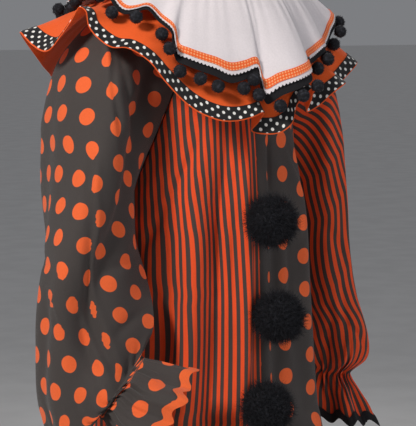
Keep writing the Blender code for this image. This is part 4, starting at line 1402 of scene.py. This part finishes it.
stripeCloth = cottonFinish("striped_cotton", stripes)
dotCloth = cottonFinish("dotted_cotton", dotsFrom(0.103, 0.008, tall=0.0518))
sleeveDots = cottonFinish("dotted_cotton_sleeve", dotsFrom(0.015, 0.0135, -31, 0.0847))
whiteCloth = cottonFinish("white_cotton_cloth", plain((0.80, 0.735, 0.755)), 0.86)
orangeCloth = cottonFinish("orange_cotton_cloth", plain((0.92, 0.120, 0.016)), 0.8)
pinDotCloth = cottonFinish("pin_dot_ribbon", pinDots, 0.6)
fleckCloth = cottonFinish("flecked_ribbon", flecks, 0.55)
orangeBraid = cottonFinish("orange_braid", plain((0.88, 0.14, 0.03)), 0.7, 0.0004)
blackBraid = cottonFinish("black_braid", plain((0.008, 0.007, 0.009)), 0.75, 0.0004, 0.05)
blackFur = cottonFinish("black_fur", furPaint, 0.8, 0.0001, 0.02)
print("materials made")

addPanel("front_right", stripeCloth)
addPanel("front_left", dotCloth)
addPanel("back_right", stripeCloth)
addPanel("back_left", dotCloth)
print("body made")

addSleeve("right", sleeveDots)
addSleeve("left", stripeCloth)
addRickrack("right", orangeBraid)
addRickrack("left", blackBraid)
print("sleeves made")

ribbonLift = seam + trimWall
ruffBands = {  # outs: from where to where, as shares of the ruffle's depth, and in how many rows
    "cloth_ruffle_orange": {
        "node": "ruffle_orange",
        "layer": "orange",
        "outs": (0, 1, 46),
        "finish": orangeCloth,
        "slot": "orange_cotton",
        "lift": 0,
        "thick": ruffleWall,
        "flat": (1.84, 0.185),
        "rests": "neckband",
    },
    "cloth_ribbon_pin_dot": {
        "node": "ribbon_pin_dot",
        "layer": "orange",
        "outs": (0.902, 0.994, 6),
        "finish": pinDotCloth,
        "slot": "black_trim",
        "lift": ribbonLift,
        "thick": trimWall,
        "flat": (1.75, 0.022),
        "rests": "cloth_ruffle_orange",
    },
    "cloth_ruffle_white": {
        "node": "ruffle_white",
        "layer": "white",
        "outs": (0, 1, 42),
        "finish": whiteCloth,
        "slot": "white_cotton",
        "lift": 0,
        "thick": ruffleWall,
        "flat": (1.40, 0.150),
        "rests": "neckband",
    },
    "cloth_ribbon_flecked": {
        "node": "ribbon_flecked",
        "layer": "white",
        "outs": (0.953, 0.990, 4),
        "finish": fleckCloth,
        "slot": "orange_trim",
        "lift": ribbonLift,
        "thick": trimWall,
        "flat": (1.45, 0.010),
        "rests": "cloth_ruffle_white",
    },
    "fringe_tape": {
        "node": "ball_fringe",
        "layer": "white",
        "outs": (*fringe["tape"], 4),
        "finish": blackBraid,
        "slot": "black_trim",
        "lift": fringe["lift"],
        "thick": trimWall,
        "flat": (1.45, 0.016),
        "rests": "cloth_ruffle_white",
    },
}
for name, band in ruffBands.items():
    addRuffBand(name, **band)

picot = {
    "columns": 1920,
    "loops": 300,
    "start": 0.994,
    "depth": 0.008,
    "loopDepth": 0.008,
    "lift": 0.0006,
    "flat": (1.45, 0.010),
    "area": 0.0055,
}


def addPicot():
    count = picot["columns"]
    a, o = np.meshgrid(np.arange(count) * 360 / count - 180, np.linspace(0, 1, 3), indexing="ij")
    loop = np.abs(np.sin(math.pi * picot["loops"] * a / 360))
    out = picot["start"] + o * (picot["depth"] + picot["loopDepth"] * loop)
    points, normals = ruffFine("white", a, out)
    points = points + normals * picot["lift"]
    cloth = np.stack([lengths(points, 0), lengths(points, 1)], -1)
    piece = clothPiece("picot_edge", points, normals, cloth, whiteCloth, trimWall, True)
    dress(piece, None)


addPicot()


def addNeckband():
    heights = np.linspace(neckband["low"], neckband["high"], 8)
    a, z = np.meshgrid(np.arange(180) * 2.0, heights, indexing="ij")
    angle = np.radians(a)
    out = np.stack([np.sin(angle), -np.cos(angle), 0 * a], -1)
    dent = neckband["dent"] * sum(bell((z - at) / neckband["dip"]) for at in neckband["stitches"])
    radius = neckRadius(angle, neckband["inset"]) - dent
    points = out * radius[..., None] + z[..., None] * np.array([0, 0, 1])
    cloth = np.stack([lengths(points, 0), z], -1)
    piece = clothPiece("cloth_neckband", points, out, cloth, whiteCloth, wall, True)
    dress(piece, "neckband")


addNeckband()
print("ruff made")

group = furGroup()
for number in (1, 2, 3):
    low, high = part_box(f"pompom_{number}")
    middle = [(a + b) / 2 for a, b in zip(low, high)]
    core = balls([(middle[0], high[1] - pompom["inFront"], middle[2])], pompom["radius"], 3, pompom["behind"])
    piece = furry(f"fur_pompom_{number}", core, group, Finish=blackFur, Seed=number, **pompom["fur"])
    dress(piece, f"pompom_{number}")

core = balls(ballPlaces(), fringe["radius"], 2)
piece = furry("fringe_balls", core, group, Finish=blackFur, **fringe["fur"])
dress(piece, None)
print("pompoms made")

studio = {"floorHalf": 60, "floorBelow": 0.09, "air": (0.93, 0.95, 1.0, 1), "airStrength": 0.22}
half = studio["floorHalf"]
floorMesh = bpy.data.meshes.new("floor")
corners = [(-half, -half, 0), (half, -half, 0), (half, half, 0), (-half, half, 0)]
floorMesh.from_pydata(corners, [], [(0, 1, 2, 3)])
floor = bpy.data.objects.new("floor", floorMesh)
floor.location.z = cadBox[0][2] - studio["floorBelow"]
scene.collection.objects.link(floor)
paleShader = Shader("pale_floor", Roughness=0.9)
pale = plain((0.80, 0.79, 0.78))(paleShader, None, None)
floorMesh.materials.append(paleShader.fit(Base_Color=pale))

world = bpy.data.worlds.new("studio")
scene.world = world
world.use_nodes = True
air = world.node_tree.nodes["Background"].inputs
air["Color"].default_value, air["Strength"].default_value = studio["air"], studio["airStrength"]

lights = {
    "key": {"place": (-2.7, -0.8, 1.5), "aim": -0.35, "size": 0.7, "power": 88, "colour": (1.0, 0.97, 0.93)},
    "fill": {"place": (1.3, -3.0, 0.7), "aim": -0.35, "size": 2.0, "power": 26, "colour": (0.95, 0.97, 1.0)},
    "rim": {"place": (1.8, 1.8, 1.6), "aim": -0.3, "size": 1.2, "power": 26, "colour": (1.0, 0.98, 0.96)},
}
for name, light in lights.items():  # each one aims at a height in the middle
    lamp = bpy.data.lights.new(name, "AREA")
    lamp.shape = "DISK"
    lamp.size, lamp.energy, lamp.color = light["size"], light["power"], light["colour"]
    made = bpy.data.objects.new(name, lamp)
    made.location = light["place"]
    toward = Vector((0, 0, light["aim"])) - Vector(light["place"])
    made.rotation_euler = toward.to_track_quat("-Z", "Y").to_euler()
    scene.collection.objects.link(made)

view = {"azimuth": -35, "elevation": 6, "distance": 3.0, "aim": (0, 0, -0.36), "lens": 162.2}
turn, lift = math.radians(view["azimuth"]), math.radians(view["elevation"])
back = Vector((math.sin(turn) * math.cos(lift), -math.cos(turn) * math.cos(lift), math.sin(lift)))
camera = bpy.data.objects.new("camera", bpy.data.cameras.new("camera"))
camera.data.lens = view["lens"]
camera.location = Vector(view["aim"]) + back * view["distance"]
camera.rotation_euler = (-back).to_track_quat("-Z", "Y").to_euler()
scene.collection.objects.link(camera)
scene.camera = camera
scene.view_settings.view_transform = "Standard"
print("floor, lights and camera made")
